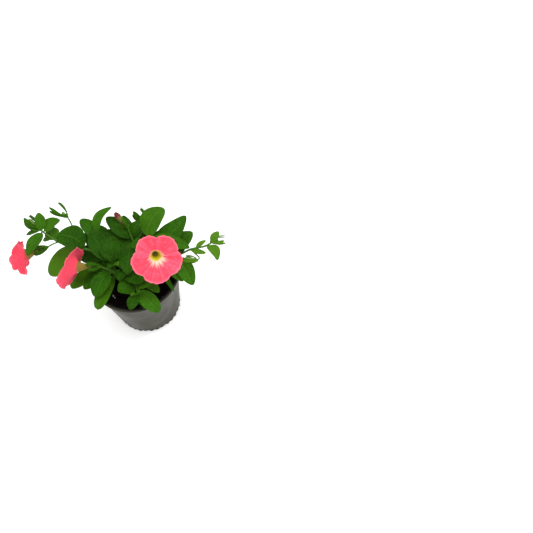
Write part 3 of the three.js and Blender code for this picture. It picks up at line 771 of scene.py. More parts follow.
def vein_masks(look):
    """The midrib and the side veins of a leaf from its UV map."""
    along, across, _ = look.split(look.uv("along"))
    out = look.maths("ABSOLUTE", look.minus(look.times(across, 2.0), 1.0))
    rib = look.step(out, 0.02, 0.11, 1.0, 0.0)
    slant = look.times(look.maths("POWER", out, 1.25), VEIN_SLANT)
    run = look.times(look.minus(along, slant), VEINS)
    wave = look.maths("ABSOLUTE", look.minus(look.maths("FRACT", run), 0.5))
    vein = look.step(wave, 0.39, 0.5)
    fade = look.step(out, 0.55, 1.0, 1.0, 0.25)
    return out, rib, look.times(vein, fade)


def leaf_material(settings):
    """Upper face of a leaf: mottled green, paler veins, a soft satin with fine relief."""
    look = Look("leaf_upper", roughness=0.5, specular=0.03)
    where = look.place()
    out, rib, vein = vein_masks(look)
    broad = look.cloud(where, 55.0, 3.0)
    fine = look.cloud(where, 420.0, 4.0, 0.65)
    tone = look.value("tone")
    grown = look.over(shade(settings.colour, 0.62), settings.colour, broad, 0.3, 0.7)
    green = look.mix(tone, grown, settings.young)
    green = look.over(green, shade(settings.young, 1.15), fine, 0.35, 0.75, 0.3)
    green = look.over(green, settings.vein, out, 0.86, 1.0, 0.14)
    net = look.step(look.cells(where, 520.0), 0.0, 0.12, 1.0, 0.0)
    lines = look.maths("MAXIMUM", look.times(rib, 0.45), look.times(vein, 0.2))
    lines = look.maths("MAXIMUM", lines, look.times(net, 0.1))
    green = look.mix(lines, green, settings.vein)
    # Mixed towards black by the points' dim value: painted shade on leaves set below one in LEAF_LIGHT;
    # calyces are darkened the same way.
    green = look.mix(look.value("dim"), BLACK, green)
    relief = look.minus(look.times(fine, 0.5), lines)
    normal = look.bump(relief, 0.55, 0.00025)
    rough = look.step(fine, 0.3, 0.7, 0.42, 0.62)
    return look.finish(green, normal, rough)


def under_material(settings):
    """Underside of a leaf: paler and duller, with veins that stand out."""
    look = Look("leaf_under", roughness=0.7, specular=0.05)
    where = look.place()
    _, rib, vein = vein_masks(look)
    fine = look.cloud(where, 380.0, 4.0, 0.6)
    green = look.over(shade(settings.under, 0.75), settings.under, fine, 0.3, 0.7)
    lines = look.maths("MAXIMUM", look.times(rib, 0.8), look.times(vein, 0.5))
    green = look.mix(lines, green, shade(settings.vein, 1.2))
    # Mixed towards black by the points' dim value: painted shade on leaves set below one in LEAF_LIGHT;
    # calyces are darkened the same way.
    green = look.mix(look.value("dim"), BLACK, green)
    normal = look.bump(look.plus(lines, look.times(fine, 0.4)), 0.5, 0.0003)
    return look.finish(green, normal)


def stem_material(settings):
    """Stems and pedicels: pale green with long streaks and a rusty blush near the soil."""
    look = Look("stem", roughness=0.55, specular=0.1)
    where = look.place()
    streak = look.cloud(look.stretch(where, (900.0, 900.0, 90.0)), 1.0, 3.0)
    height = look.split(where)[2]
    low = look.step(height, 0.078, 0.1, 0.5, 0.0)
    green = look.over(shade(settings.stem, 0.7), shade(settings.stem, 1.15), streak, 0.3, 0.7)
    green = look.mix(low, green, RUST_BLUSH)
    normal = look.bump(streak, 0.4, 0.0002)
    return look.finish(green, normal)


def speckled(name, roughness, specular, colours, size, detail=3.0, grit=0.55, relief=None):
    """The finish of a tiny part: two colours in fine specks, which may stand out."""
    look = Look(name, roughness, specular)
    speck = look.cloud(look.place(), size, detail, grit)
    normal = look.bump(speck, *relief) if relief else None
    return look.finish(look.mix(speck, *colours), normal)


def hair_material(settings):
    """Fine pale hairs."""
    return speckled("fine_hair", 0.5, 0.05, (settings.vein, shade(settings.vein, 1.4)), 700.0, 2.0)


def stigma_material():
    """Sticky green stigma."""
    return speckled("stigma", 0.3, 0.5, STIGMA_GREENS, 1500.0, relief=(0.4, 0.0001))


def pollen_material():
    """Mealy yellow anthers."""
    return speckled("pollen", 0.85, 0.2, POLLEN_YELLOWS, 2500.0, grit=0.7, relief=(0.6, 0.0002))


def filament_material():
    """Olive filaments."""
    return speckled("filament", 0.5, 0.4, FILAMENT_GREENS, 900.0, 2.0)


def bud_material(settings):
    """Green buds, paler at the seams of the furled petals."""
    look = Look("green_bud", roughness=0.6, specular=0.2, sheen=0.05)
    where = look.place()
    along, around, _ = look.split(look.uv("along"))
    seam = look.maths("SINE", look.times(around, 2 * math.pi * LOBES))
    fine = look.cloud(where, 500.0, 3.0)
    green = look.over(shade(settings.young, 0.85), shade(settings.vein, 1.1), fine, 0.3, 0.7)
    green = look.over(green, BUD_SEAM, seam, 0.5, 1.0, 0.5)
    green = look.over(green, BUD_TIP, along, 0.8, 1.0, 0.7)
    normal = look.bump(fine, 0.4, 0.0002)
    return look.finish(green, normal)


def petal_front_material(settings):
    """Inside of a flower: olive throat darkened deep in the tube as painted shade, pale star with rays, coral
    limb with streaks.
    """
    look = Look("petal_front", roughness=0.62, specular=0.12, sheen=0.05, subsurface=0.3)
    where = look.place()
    ring = look.uv("ring")
    along = look.split(look.uv("along"))[0]
    broad = look.streaks(ring, 3.2, 2.0)
    rays = look.streaks(ring, 11.0, 4.0, 0.7)
    lines = look.streaks(ring, 34.0, 3.0, 0.6)
    mottle = look.cloud(where, 260.0, 4.0, 0.6)
    coral = look.over(settings.streak, settings.colour, rays, 0.35, 0.68)
    coral = look.over(coral, settings.edge, broad, 0.42, 0.7, 0.35)
    coral = look.over(coral, settings.streak, lines, 0.52, 0.72, 0.28)
    coral = look.over(coral, settings.edge, mottle, 0.42, 0.75, 0.35)
    coral = look.over(coral, settings.edge, along, 0.86, 1.0, 0.75)
    lower = look.value("lower")
    reach = look.times(look.step(rays, 0.36, 0.68, 0.2, 1.0), look.step(lower, 0.1, 0.9, 0.09, 0.36))
    distance = look.minus(along, reach)
    star = look.step(distance, -0.24, 0.07, 1.0, 0.0)
    coral = look.mix(star, coral, settings.star)
    inside = look.step(along, -0.1, 0.03, 1.0, 0.0)
    # Painted shade deep in the tube: the throat colour darkens to a quarter down there.
    deep = look.step(along, -1.0, -0.62, 1.0, 0.0)
    yellow = look.over(settings.throat, shade(settings.throat, 1.5), lines, 0.35, 0.65)
    yellow = look.mix(deep, yellow, shade(settings.throat, 0.25))
    colour = look.mix(inside, coral, yellow)
    relief = look.plus(look.times(lines, 0.7), look.times(mottle, 0.5))
    normal = look.bump(relief, 0.5, 0.0003)
    return look.finish(colour, normal)


def petal_back_material(settings):
    """Outside of a flower: deeper coral limb with veins, and a tan tube that is green at its foot."""
    look = Look("petal_back", roughness=0.6, specular=0.12, sheen=0.05, subsurface=0.3)
    where = look.place()
    ring = look.uv("ring")
    along = look.split(look.uv("along"))[0]
    lines = look.streaks(ring, 26.0, 3.0, 0.6)
    mottle = look.cloud(where, 240.0, 4.0, 0.6)
    coral = look.over(shade(settings.back, 0.92), settings.colour, mottle, 0.3, 0.75)
    coral = look.over(coral, shade(settings.back, 0.8), lines, 0.52, 0.7, 0.45)
    coral = look.over(coral, settings.edge, along, 0.8, 1.0, 0.35)
    tube = look.over(TUBE_FOOT, settings.tube, along, -0.75, -0.1)
    tube = look.over(tube, shade(settings.tube, 0.6), lines, 0.45, 0.7, 0.4)
    colour = look.over(tube, coral, along, 0.02, 0.14)
    normal = look.bump(look.plus(lines, look.times(mottle, 0.5)), 0.45, 0.0003)
    return look.finish(colour, normal)


def closed_petal_material():
    """The furled flower: dull red ragged top on an olive tube."""
    look = Look("closed_petal", roughness=0.65, specular=0.15, sheen=0.05)
    where = look.place()
    along, around, _ = look.split(look.uv("along"))
    mottle = look.cloud(where, 420.0, 4.0, 0.65)
    seam = look.maths("SINE", look.times(around, 2 * math.pi * LOBES))
    red = look.mix(look.step(mottle, 0.35, 0.68), *FURLED_REDS)
    red = look.over(red, FURLED_SEAM, seam, 0.0, 1.0, 0.5)
    olive = look.mix(mottle, *FURLED_OLIVES)
    edge = look.plus(along, look.times(mottle, 0.2))
    colour = look.over(olive, red, edge, 0.74, 0.88)
    normal = look.bump(mottle, 0.5, 0.0003)
    return look.finish(colour, normal)


def pot_material(settings, name="pot_plastic", dark=1.0, specular=0.15):
    """Moulded plastic: slightly uneven, dusty in patches, with faint runs and fine scratches, and painted
    shadow at the foot and under the lip. A dark below one makes the copy painted as shade inside the pot.
    """
    look = Look(name, roughness=0.42, specular=specular)
    where = look.place()
    runs = look.cloud(look.stretch(where, (60.0, 60.0, 9.0)), 1.0, 4.0, 0.6)
    patch = look.cloud(where, 22.0, 4.0, 0.6, 0.4)
    grain = look.cloud(where, 1300.0, 3.0, 0.7)
    scratch = look.step(look.cloud(look.stretch(where, (700.0, 700.0, 30.0)), 1.0, 2.0), 0.66, 0.75)
    base = shade(settings.colour, dark)
    colour = look.over(shade(base, 0.82), shade(base, 1.12), runs, 0.3, 0.7)
    dust = look.times(look.step(patch, 0.45, 0.75), look.step(grain, 0.2, 0.7, 0.35, 1.0))
    colour = look.mix(look.times(dust, 0.55), colour, shade(settings.dust, dark))
    colour = look.mix(look.times(scratch, 0.25), colour, shade(settings.dust, 1.2 * dark))
    rough = look.plus(look.step(patch, 0.3, 0.8, 0.34, 0.62), look.times(scratch, 0.1))
    height = look.split(where)[2]
    # Painted shadow: the lowest few millimetres of the pot turn near black where it stands on the floor.
    colour = look.over(POT_FOOT_PAINTED_SHADOW, colour, height, 0.0035, 0.006)
    # Painted shadow under the lip: from just below the lip upwards the plastic is darkened, the lip too.
    lip = look.step(height, 0.0822, 0.0834, 0.0, 0.4)
    colour = look.mix(lip, colour, shade(base, 0.45))
    normal = look.bump(look.plus(grain, look.times(runs, 1.5)), 0.25, 0.0002)
    return look.finish(colour, normal, rough)


def peat_material(settings):
    """Damp peat, nearly black."""
    look = Look("peat", roughness=0.95, specular=0.05)
    where = look.place()
    lumps = look.cloud(where, 260.0, 5.0, 0.65)
    fibre = look.cloud(look.stretch(where, (300.0, 1200.0, 900.0)), 1.0, 3.0)
    colour = look.over(shade(settings.colour, 0.5), shade(settings.colour, 2.0), lumps, 0.3, 0.75)
    colour = look.over(colour, PEAT_FIBRE, fibre, 0.64, 0.75, 0.55)
    return look.finish(colour, look.bump(lumps, 0.9, 0.0008))


def perlite_material(settings):
    """White mineral grains, stained by the peat."""
    look = Look("perlite", roughness=0.9, specular=0.2)
    where = look.place()
    stain = look.cloud(where, 600.0, 4.0, 0.7)
    colour = look.over(shade(settings.grain_colour, 0.35), settings.grain_colour, stain, 0.35, 0.7)
    return look.finish(colour, look.bump(stain, 0.8, 0.0003))


# ---------------------------------------------------------------- leaves, stems and sepals


def leaf_half(u, blunt):
    """Half width of a leaf, 0 to 1, along its length. A blunt one is broadest nearer to its tip."""
    petiole = 0.08
    blade = np.clip((u - petiole) / (1 - petiole), 0, 1)
    return np.clip(np.sin(np.pi * blade ** (0.85 + 0.3 * blunt)), 0, 1) ** (0.58 - 0.18 * blunt)


def sepal_half(u, _blunt):
    """Half width of a sepal, 0 to 1: narrow at its root, broadest past its middle and never blunt."""
    swell = 0.3 + 0.7 * smoothstep(0.0, 0.68, u)
    return swell * np.sqrt(np.clip(1 - np.clip((u - 0.6) / 0.4, 0, 1) ** 2.4, 0, 1))


LEAF_FORM = {"along": 44, "across": 24, "half": leaf_half, "neck": 0.9, "fold": 0.16, "wave": 0.07}
MIDDLE_FORM = {**LEAF_FORM, "along": 34, "across": 18, "fold": 0.18}
SMALL_FORM = {**LEAF_FORM, "along": 24, "across": 12, "fold": 0.2}
SEPAL_FORM = {"along": 16, "across": 6, "half": sepal_half, "neck": 0.7, "fold": 0.1, "wave": 0.0}


def blade_points(root, tip, plan, form, phase, vein_depth):
    """A blade's table of points: arched, rolled, bowed, folded, waved and quilted between its veins."""
    start = np.array(root, float)
    chord = np.array(tip, float) - start
    ahead = unit(chord)
    side = turned(unit(np.cross(ahead, UP)), ahead, plan["roll"])
    normal = np.cross(side, ahead)
    even = np.linspace(0, 1, form["along"] + 1)[:, None]
    u = 0.65 * even + 0.35 * (0.5 - 0.5 * np.cos(np.pi * even))
    w = np.linspace(-1, 1, form["across"] + 1)[None, :]
    bow = 4 * u * (1 - u)
    neck = form["neck"] + (BLADE_TIP - form["neck"]) * u**0.5
    half = np.maximum(neck, 0.5 * plan["wide"] * form["half"](u, plan.get("blunt", 0)))
    ripple = form["wave"] * half * np.sin(3.2 * np.pi * u + phase + 1.7 * (w > 0))
    frill = 0.18 * form["wave"] * half * np.sin(17 * u + 2.3 * phase + 2.1 * (w > 0))
    lift = form["fold"] * half * np.abs(w) + ripple * w**2 + frill * w**4
    run = (u - VEIN_SLANT * np.abs(w) ** 1.25) * VEINS
    from_vein = np.abs(run - np.round(run - 0.5) - 0.5)
    groove = np.exp(-((from_vein / 0.13) ** 2)) * (1 - np.abs(w) ** 4)
    midrib = np.exp(-((w * half / 0.75) ** 2)) * (1 - 0.7 * u)
    lift = lift - vein_depth * (0.7 * groove + 1.5 * midrib) * smoothstep(0.1, 0.25, u)
    spine = start + chord * u[..., None] + normal * (plan["arch"] * bow)[..., None]
    spine = spine - side * (plan["sway"] * bow)[..., None]
    points = spine + side * (w * half)[..., None] + normal * lift[..., None]
    return points, u, w, side, normal


def rim_hairs(points, side, normal):
    """Roots and directions of the hairs along both edges of a blade."""
    left, right = points[2:-1, 0], points[2:-1, -1]
    ways = [np.tile(out + 0.35 * normal, (len(left), 1)) for out in (-side, side)]
    return np.concatenate([left, right]), np.concatenate(ways)


def face_hairs(points, normal, number, draw):
    """Roots and directions of hairs scattered on the upper face of a blade."""
    rows, columns = points.shape[:2]
    picks = [(draw.randrange(2, rows - 1), draw.randrange(1, columns - 1)) for _ in range(number)]
    roots = np.array([points[i, j] for i, j in picks])
    leans = np.array([[draw.uniform(-0.5, 0.5) for _ in range(3)] for _ in picks])
    return roots, normal + leans


def hair_piece(roots, ways, length, draw):
    """Many fine three-sided hairs as one mesh."""
    roots = np.asarray(roots, float)
    ways = np.asarray(ways, float)
    ways = ways + np.array([[draw.uniform(-HAIR_LEAN, HAIR_LEAN) for _ in range(3)] for _ in roots])
    ways = ways / np.linalg.norm(ways, axis=1)[:, None]
    sides = np.cross(ways, UP + np.array([0.01, 0.02, 0.0]))
    sides = sides / np.linalg.norm(sides, axis=1)[:, None]
    tops = np.cross(ways, sides)
    reach = np.array([draw.uniform(*HAIR_REACH) * length for _ in roots])[:, None]
    thirds = (0, 2.1, 4.2)
    corners = [roots + HAIR_RADIUS * (math.cos(angle) * sides + math.sin(angle) * tops) for angle in thirds]
    corners.append(roots + ways * reach)
    table = np.stack(corners, axis=1).reshape(-1, 3)
    faces = []
    for k in range(len(roots)):
        a = 4 * k
        faces += [(a, a + 3, a + 1), (a + 1, a + 3, a + 2), (a + 2, a + 3, a), (a, a + 1, a + 2)]
    return loose_piece("hairs", table, faces)


def leaf_piece(root, plan, number, light, looks, settings, draw, hairs):
    """One leaf with its own thickness, and its hairs noted for later."""
    form = LEAF_FORM
    if plan["wide"] < MIDDLE_LEAF:
        form = MIDDLE_FORM
    if plan["wide"] < SMALL_LEAF:
        form = SMALL_FORM
    depth = settings.vein_depth / MM * min(1.0, plan["wide"] / DEEP_VEINS_FROM)
    points, u, w, side, normal = blade_points(root, plan["tip"], plan, form, 2.4 * number, depth)
    # A light below one becomes painted shade through the dim value; above one it gives the leaf a younger
    # colour.
    young = light - 0.9 + draw.uniform(-0.05, 0.05)
    piece = grid_piece(points, u, 0.5 + 0.5 * w, min(1.0, max(0.0, young)), min(1.0, light))
    wear(piece, looks["leaf"], looks["under"])
    thicken(piece, settings.thickness)
    hairs.append(rim_hairs(points, side, normal))
    hairs.append(face_hairs(points, normal, int(FACE_HAIRS_A_MM * plan["wide"]), draw))
    return piece


def stalk_piece(route, root_radius, tip_radius, look, hairs, draw, swell=()):
    """A round stalk along a smooth route: a curve with a bevel, made a mesh. It swells at its nodes."""
    length = route_length(route)
    steps = max(6, int(length / STALK_STEP))
    line = smooth_route(route, steps)
    deselect()
    bpy.ops.curve.primitive_nurbs_path_add()
    curve = bpy.context.object
    curve.data.splines.clear()
    spline = curve.data.splines.new("POLY")
    spline.points.add(steps)
    for k, point in enumerate(line):
        radius = root_radius + (tip_radius - root_radius) * k / steps
        near = min((float(np.linalg.norm(point - np.array(s))) for s in swell), default=99.0)
        radius *= 1 + NODE_SWELL * math.exp(-((near / NODE_REACH) ** 2))
        spline.points[k].co = (*(point * MM), 1.0)
        spline.points[k].radius = radius
        if k > BARE_STEPS or route[0][2] > SOIL_TOP:
            for _ in range(HAIRS_A_STEP):
                angle = draw.uniform(0, 2 * math.pi)
                ahead = unit(line[min(k + 1, steps)] - line[max(k - 1, 0)])
                out = turned(unit(np.cross(ahead, UP + 0.013)), ahead, math.degrees(angle))
                hairs.append((point[None] + out * radius * 0.9, out[None]))
    curve.data.dimensions = "3D"
    curve.data.bevel_depth = MM
    curve.data.bevel_resolution = 3
    curve.data.use_fill_caps = True
    curve.data.resolution_u = 1
    bpy.ops.object.convert(target="MESH")
    piece = bpy.context.object
    wear(piece, look)
    return piece


def turned_piece(base, axes, profile, around, tone, ridge=0.0, twist=0.0, ragged=0.0):
    """A closed form turned about a flower's axis through (height, radius) steps, with five soft ridges."""
    share_along = np.linspace(0, 1, len(profile))[:, None]
    heights = np.array([p[0] for p in profile], float)[:, None]
    radii = np.array([p[1] for p in profile], float)[:, None]
    angle = np.linspace(0, 2 * np.pi, around + 1)[None, :]
    r = radii * (1 + ridge * np.cos(LOBES * angle + twist * share_along))
    z = heights + ragged * np.sin(LOBES * angle + 1.0) * smoothstep(0.8, 0.95, share_along) + 0 * angle
    points = at(base, axes, r * np.cos(angle), r * np.sin(angle), z)
    piece = grid_piece(points, share_along, angle / (2 * np.pi), tone)
    weld(piece)
    return piece


def rounded(profile, steps):
    """A profile of (height, radius) steps made smooth, with its ends closed on the axis."""
    line = smooth_route([(z, r, 0.0) for z, r in profile], steps)
    first, last = line[0], line[-1]
    body = [(float(z), max(0.0, float(r))) for z, r, _ in line]
    return [(float(first[0]), 0.0), *body, (float(last[0]), 0.0)]


def sepal_roll(root, tip, outward):
    """The roll that turns a blade's upper face to a direction."""
    ahead = unit(tip - root)
    side = unit(np.cross(ahead, UP))
    level = np.cross(side, ahead)
    flat = unit(outward - ahead * np.dot(outward, ahead))
    return math.degrees(math.atan2(np.dot(flat, side), np.dot(flat, level)))


def calyx_pieces(head, looks, settings, draw, hairs):
    """The cup and the five sepals round the foot of a flower or bud."""
    axes = facing(head["face"])
    base = head["base"]
    young = head.get("tone", CALYX_TONE)
    cup = turned_piece(base, axes, rounded(CUP_PROFILE, 14), around=20, tone=young, ridge=0.05)
    wear(cup, looks["leaf"])
    pieces = [cup]
    bud = 1.0 if head.get("bud") else 0.0
    skyward = bud * BUD_SKYWARD
    vary = (0.5 + 0.5 * bud) * SPREAD_VARY
    for k in range(SEPALS):
        even = 2 * math.pi * k / SEPALS
        gathered = bud * (BUD_PINCH * math.sin(2 * even) + BUD_SQUEEZE * math.sin(even))
        angle = even + math.radians((1 - bud) * SEPAL_TURN - gathered)
        opened = math.radians(head["spread"] + vary * math.sin(2.3 * k + SEPAL_TURN))
        reach = head["sepals"] * (1 - SEPAL_SHORTER * abs(math.sin(1.9 * k + SEPAL_TURN)))
        far = SEPAL_ROOT_RADIUS + reach * math.sin(opened)
        cos, sin = math.cos(angle), math.sin(angle)
        root = at(base, axes, SEPAL_ROOT_RADIUS * cos, SEPAL_ROOT_RADIUS * sin, -SEPAL_ROOT_DEPTH)
        tip = at(base, axes, far * cos, far * sin, reach * math.cos(opened) - SEPAL_ROOT_DEPTH)
        outward = at((0, 0, 0), axes, cos, sin, 0.0) + skyward * UP
        plan = {"wide": SEPAL_WIDE * head.get("narrow", 1), "arch": SEPAL_ARCH * reach, "sway": 0.0}
        plan["roll"] = sepal_roll(root, tip, outward)
        points, u, w, side, normal = blade_points(root, tip, plan, SEPAL_FORM, 0.0, 0.12)
        tone = young + draw.uniform(-0.1, 0.2)
        piece = grid_piece(points, u, 0.5 + 0.5 * w, max(0.0, tone), head.get("dim", CALYX_DIM))
        wear(piece, looks["leaf"], looks["under"])
        thicken(piece, settings.thickness)
        hairs.append(rim_hairs(points, side, normal))
        pieces.append(piece)
    return pieces


def green_bud(head, look):
    """A green bud: furled petals, twisted a little, still shut in their sepals."""
    steps = [(BUD_START + u * head["bud"], head["wide"] * part) for u, part in BUD_PROFILE]
    profile = rounded(steps, 24)
    axes = facing(head["face"])
    piece = turned_piece(head["base"], axes, profile, around=30, tone=0.5, ridge=0.07, twist=3.0)
    wear(piece, look)
    return piece


def shoot_piece(name, shoot, looks, settings, draw):
    """A whole leafy shoot as one piece."""
    hairs = []
    routes = [shoot["route"], *shoot.get("branches", [])]
    nodes = [plan["root"] for plan in shoot["leaves"]]
    pieces = []
    leaf_draw = random.Random(name)
    for number, (plan, light) in enumerate(zip(shoot["leaves"], LEAF_LIGHT[name])):
        near = min((nearest_on(route, plan["root"]) for route in routes), key=lambda found: found[1])
        pieces.append(leaf_piece(near[0], plan, number, light, looks, settings, leaf_draw, hairs))
    stem = looks["stem"]
    pieces.append(stalk_piece(shoot["route"], STEM_RADIUS, STEM_TIP_RADIUS, stem, hairs, draw, nodes))
    pedicels = shoot.get("pedicels", [])
    stalks = [(route, BRANCH_RADIUS, STEM_TIP_RADIUS) for route in shoot.get("branches", [])]
    stalks += [(route, PEDICEL_RADIUS, PEDICEL_RADIUS) for route in pedicels]
    for route, root_radius, tip_radius in stalks:
        start = nearest_on(shoot["route"], route[0])[0]
        pieces.append(stalk_piece([list(start), *route[1:]], root_radius, tip_radius, stem, hairs, draw))
    heads = [FLOWERS[bloom] for bloom in shoot.get("blooms", [])] + shoot.get("buds", [])
    ends = [shoot["route"][-1], *[route[-1] for route in pedicels]]
    for head in heads:
        axes = facing(head["face"])
        back = at(head["base"], axes, 0, 0, -CUP_BACK)
        end = min(ends, key=lambda p: float(np.linalg.norm(np.array(p, float) - back)))
        link = [list(end), list(back)]
        swollen = PEDICEL_RADIUS + PEDICEL_SWELL
        pieces.append(stalk_piece(link, swollen, PEDICEL_RADIUS, stem, hairs, draw))
        pieces += calyx_pieces(head, looks, settings, draw, hairs)
        if head.get("bud"):
            pieces.append(green_bud(head, looks["bud"]))
    roots = np.concatenate([h[0] for h in hairs])
    ways = np.concatenate([h[1] for h in hairs])
    fuzz = hair_piece(roots, ways, settings.hair_length / MM, draw)
    wear(fuzz, looks["hair"])
    pieces.append(fuzz)
    piece = join(name + "_foliage", pieces)
    smooth(piece, PLANT_CREASE)
    return finish_piece(piece, "foliage", name)


def build_foliage(settings):
    """Every leafy shoot."""
    looks = {
        "leaf": leaf_material(settings),
        "under": under_material(settings),
        "stem": stem_material(settings),
        "hair": hair_material(settings),
        "bud": bud_material(settings),
    }
    draw = random.Random(FOLIAGE_SEED)
    for name, shoot in SHOOTS.items():
        shoot_piece(name, shoot, looks, settings, draw)


# ---------------------------------------------------------------- flowers


def corolla_table(flower):
    """The skin of an open flower: its points, how far along it they are, and their angles."""
    axes = facing(flower["face"], flower["turn"])
    throat, limb, tube = flower["throat"], flower["radius"], flower["tube"]
    look = np.array(flower.get("look", flower["face"]), float)
    lean_right = -np.dot(look, axes[0]) / np.dot(look, axes[2])
    lean_top = -np.dot(look, axes[1]) / np.dot(look, axes[2])
    cup = flower.get("limb_cup", 1.0)
    steps = [(CLOSED_START, FOOT_RADIUS), WAIST, (tube - THROAT_DEPTH, throat)]
    steps += [(tube + cup * rise, throat + out * (limb - throat)) for rise, out in FLARE]
    line = smooth_route([(z, r, 0.0) for z, r in steps], COROLLA_ROWS)
    height, radius = line[:, 0][:, None], line[:, 1][:, None]
    angle = np.linspace(0, 2 * np.pi, COROLLA_SIDES + 1)[None, :]
    phase = flower["phase"]
    out = np.clip((radius - throat) / (limb - throat), 0, 1)
    mouth = tube - THROAT_DEPTH
    along = np.where(out > 0, out, -np.clip((mouth - height) / (mouth - CLOSED_START), 0, 1))
    lobe = np.abs(np.sin(0.5 * LOBES * angle))
    notch = flower.get("notch", NOTCH) * out**1.6 * (1 - lobe**NOTCH_POWER)
    lower = 1 + LOWER_LOBE * out * np.cos(angle - 1.5 * np.pi)
    uneven_edge = 1 + out**3 * (0.01 * np.sin(13 * angle + phase) + 0.008 * np.sin(29 * angle))
    pentagon = 1 - MOUTH_CORNERS * np.cos(LOBES * angle) * np.exp(-((along / 0.3) ** 2))
    r = radius * (1 - notch) * lower * uneven_edge * pentagon
    x, y = r * np.cos(angle), r * np.sin(angle)
    fold = LOBE_FOLD * np.cos(LOBES * angle) + UNEVEN_FOLD * np.sin(3 * angle + phase)
    curl = flower["ruffle"] * np.sin(2 * angle + phase)
    frill = (0.25 + 0.12 * flower["ruffle"]) * np.sin(11 * angle + 2 * phase) + 0.14 * np.sin(23 * angle)
    between_lobes = np.exp(-((np.sin(0.5 * LOBES * angle) / 0.1) ** 2))
    middle_of_lobe = np.exp(-((np.cos(0.5 * LOBES * angle) / 0.06) ** 2))
    crease = between_lobes + 0.3 * middle_of_lobe
    ribs = FINE_RIB * np.sin(47 * angle + phase) * out**0.5
    lean = lean_right * x + lean_top * y
    z = height + out**2 * (fold + curl) + out**4 * frill + np.sqrt(out) * lean
    z = z - CREASE_DEPTH * crease * out * (1.05 - out) + ribs
    points = at(flower["base"], axes, x, y, z)
    return points, along, angle


def corolla_piece(name, flower, looks, settings):
    """An open flower, its inside and outside with their own finish."""
    points, along, angle = corolla_table(flower)
    piece = grid_piece(points, along, angle / (2 * np.pi), 0.5)
    ring = np.stack([np.cos(angle), np.sin(angle)], axis=-1)
    put_uv(piece, "ring", np.broadcast_to(ring, (*points.shape[:2], 2)))
    below = (0.5 - 0.5 * np.sin(angle)) + 0 * along
    put_value(piece, "lower", below)
    weld(piece)
    wear(piece, looks["back"], looks["front"])
    thicken(piece, settings.thickness)
    smooth(piece, PLANT_CREASE)
    piece = join(name + "_petals", [piece])
    return finish_piece(piece, "petal", name)


def small_ball(base, axes, x, y, z, sizes, look):
    """A small round body stretched along a flower's axis."""
    steps = [(math.sin(t) * sizes[1], math.cos(t) * sizes[0]) for t in np.linspace(-1.4, 1.4, 10)]
    centre = at(base, axes, x, y, z)
    piece = turned_piece(centre, axes, rounded(steps, 12), around=14, tone=0.5)
    wear(piece, look)
    return piece


def throat_piece(name, flower, looks):
    """Five stamens round a style with its stigma, deep in the tube."""
    axes = facing(flower["face"], flower["turn"])
    base, tube = flower["base"], flower["tube"]
    filament, pieces = looks["filament"], []
    for k in range(LOBES):
        angle = 2 * math.pi * (k + 0.5) / LOBES
        cos, sin = math.cos(angle), math.sin(angle)
        top = tube - STAMEN_DEPTH + STAMEN_STAGGER * (k % 3)
        steps = [(0.7, 3.0), (1.3, 0.6 * tube), (STAMEN_AWAY, top)]
        route = [list(at(base, axes, away * cos, away * sin, h)) for away, h in steps]
        pieces.append(stalk_piece(route, *FILAMENT_RADII, filament, [], random.Random(k)))
        for half in (-ANTHER_APART, ANTHER_APART):
            x, y = STAMEN_AWAY * cos - half * sin, STAMEN_AWAY * sin + half * cos
            pieces.append(small_ball(base, axes, x, y, top + ANTHER_ABOVE, ANTHER_SIZES, looks["pollen"]))
    style = [list(at(base, axes, 0, 0, h)) for h in (2.0, 0.4 * tube, tube - STYLE_DEPTH)]
    pieces.append(stalk_piece(style, *STYLE_RADII, filament, [], random.Random(STYLE_SEED)))
    pieces.append(small_ball(base, axes, 0, 0, tube - STIGMA_DEPTH, STIGMA_SIZES, looks["stigma"]))
    piece = join(name + "_stamens", pieces)
    smooth(piece, PLANT_CREASE)
    return finish_piece(piece, "petal")


def build_flowers(settings):
    """The open flowers with their stamens."""
    looks = {
        "front": petal_front_material(settings),
        "back": petal_back_material(settings),
        "filament": filament_material(),
        "pollen": pollen_material(),
        "stigma": stigma_material(),
    }
    for name, flower in FLOWERS.items():
        corolla_piece(name, flower, looks, settings)
        throat_piece(name, flower, looks)


def build_closed_flower():
    """The furled reddish flower at the back."""
    head = CLOSED_BUD
    steps = [(CLOSED_START + u * CLOSED_LENGTH, CLOSED_RADIUS * part) for u, part in CLOSED_PROFILE]
    form = {"around": 50, "tone": 0.5, "ridge": 0.2, "twist": 2.2, "ragged": 1.7}
    piece = turned_piece(head["base"], facing(head["face"]), rounded(steps, 34), **form)
    wear(piece, closed_petal_material())
    smooth(piece, PLANT_CREASE)
    piece = join("bud_red_petals", [piece])
    return finish_piece(piece, "closed_petal", "bud_red")


# ---------------------------------------------------------------- pot and growing mix


def raise_rings(steps):
    """Extrude the selected ring through (radius, height) steps in metres."""
    for (radius, height), (wider, higher) in zip(steps, steps[1:]):
        bpy.ops.mesh.extrude_region_move()
        factor = wider / radius
        bpy.ops.transform.resize(value=(factor, factor, 1), center_override=(0, 0, 0))
        bpy.ops.transform.translate(value=(0, 0, higher - height))


def ring_body(name, steps, sides):
    """A body turned about the pot's axis: a disc, drawn up through its steps and closed."""
    deselect()
    radius, height = steps[0]
    place = (0, 0, height)
    bpy.ops.mesh.primitive_circle_add(vertices=sides, radius=radius, fill_type="TRIFAN", location=place)
    piece = bpy.context.object
    piece.name = name
    bpy.ops.object.transform_apply(location=True, rotation=True, scale=True)
    bpy.ops.object.mode_set(mode="EDIT")
    bpy.ops.mesh.select_all(action="SELECT")
    bpy.ops.mesh.region_to_loop()
    raise_rings(steps)
    bpy.ops.mesh.merge(type="CENTER")
    bpy.ops.mesh.select_all(action="SELECT")
    bpy.ops.mesh.normals_make_consistent(inside=False)
    bpy.ops.object.mode_set(mode="OBJECT")
    return piece


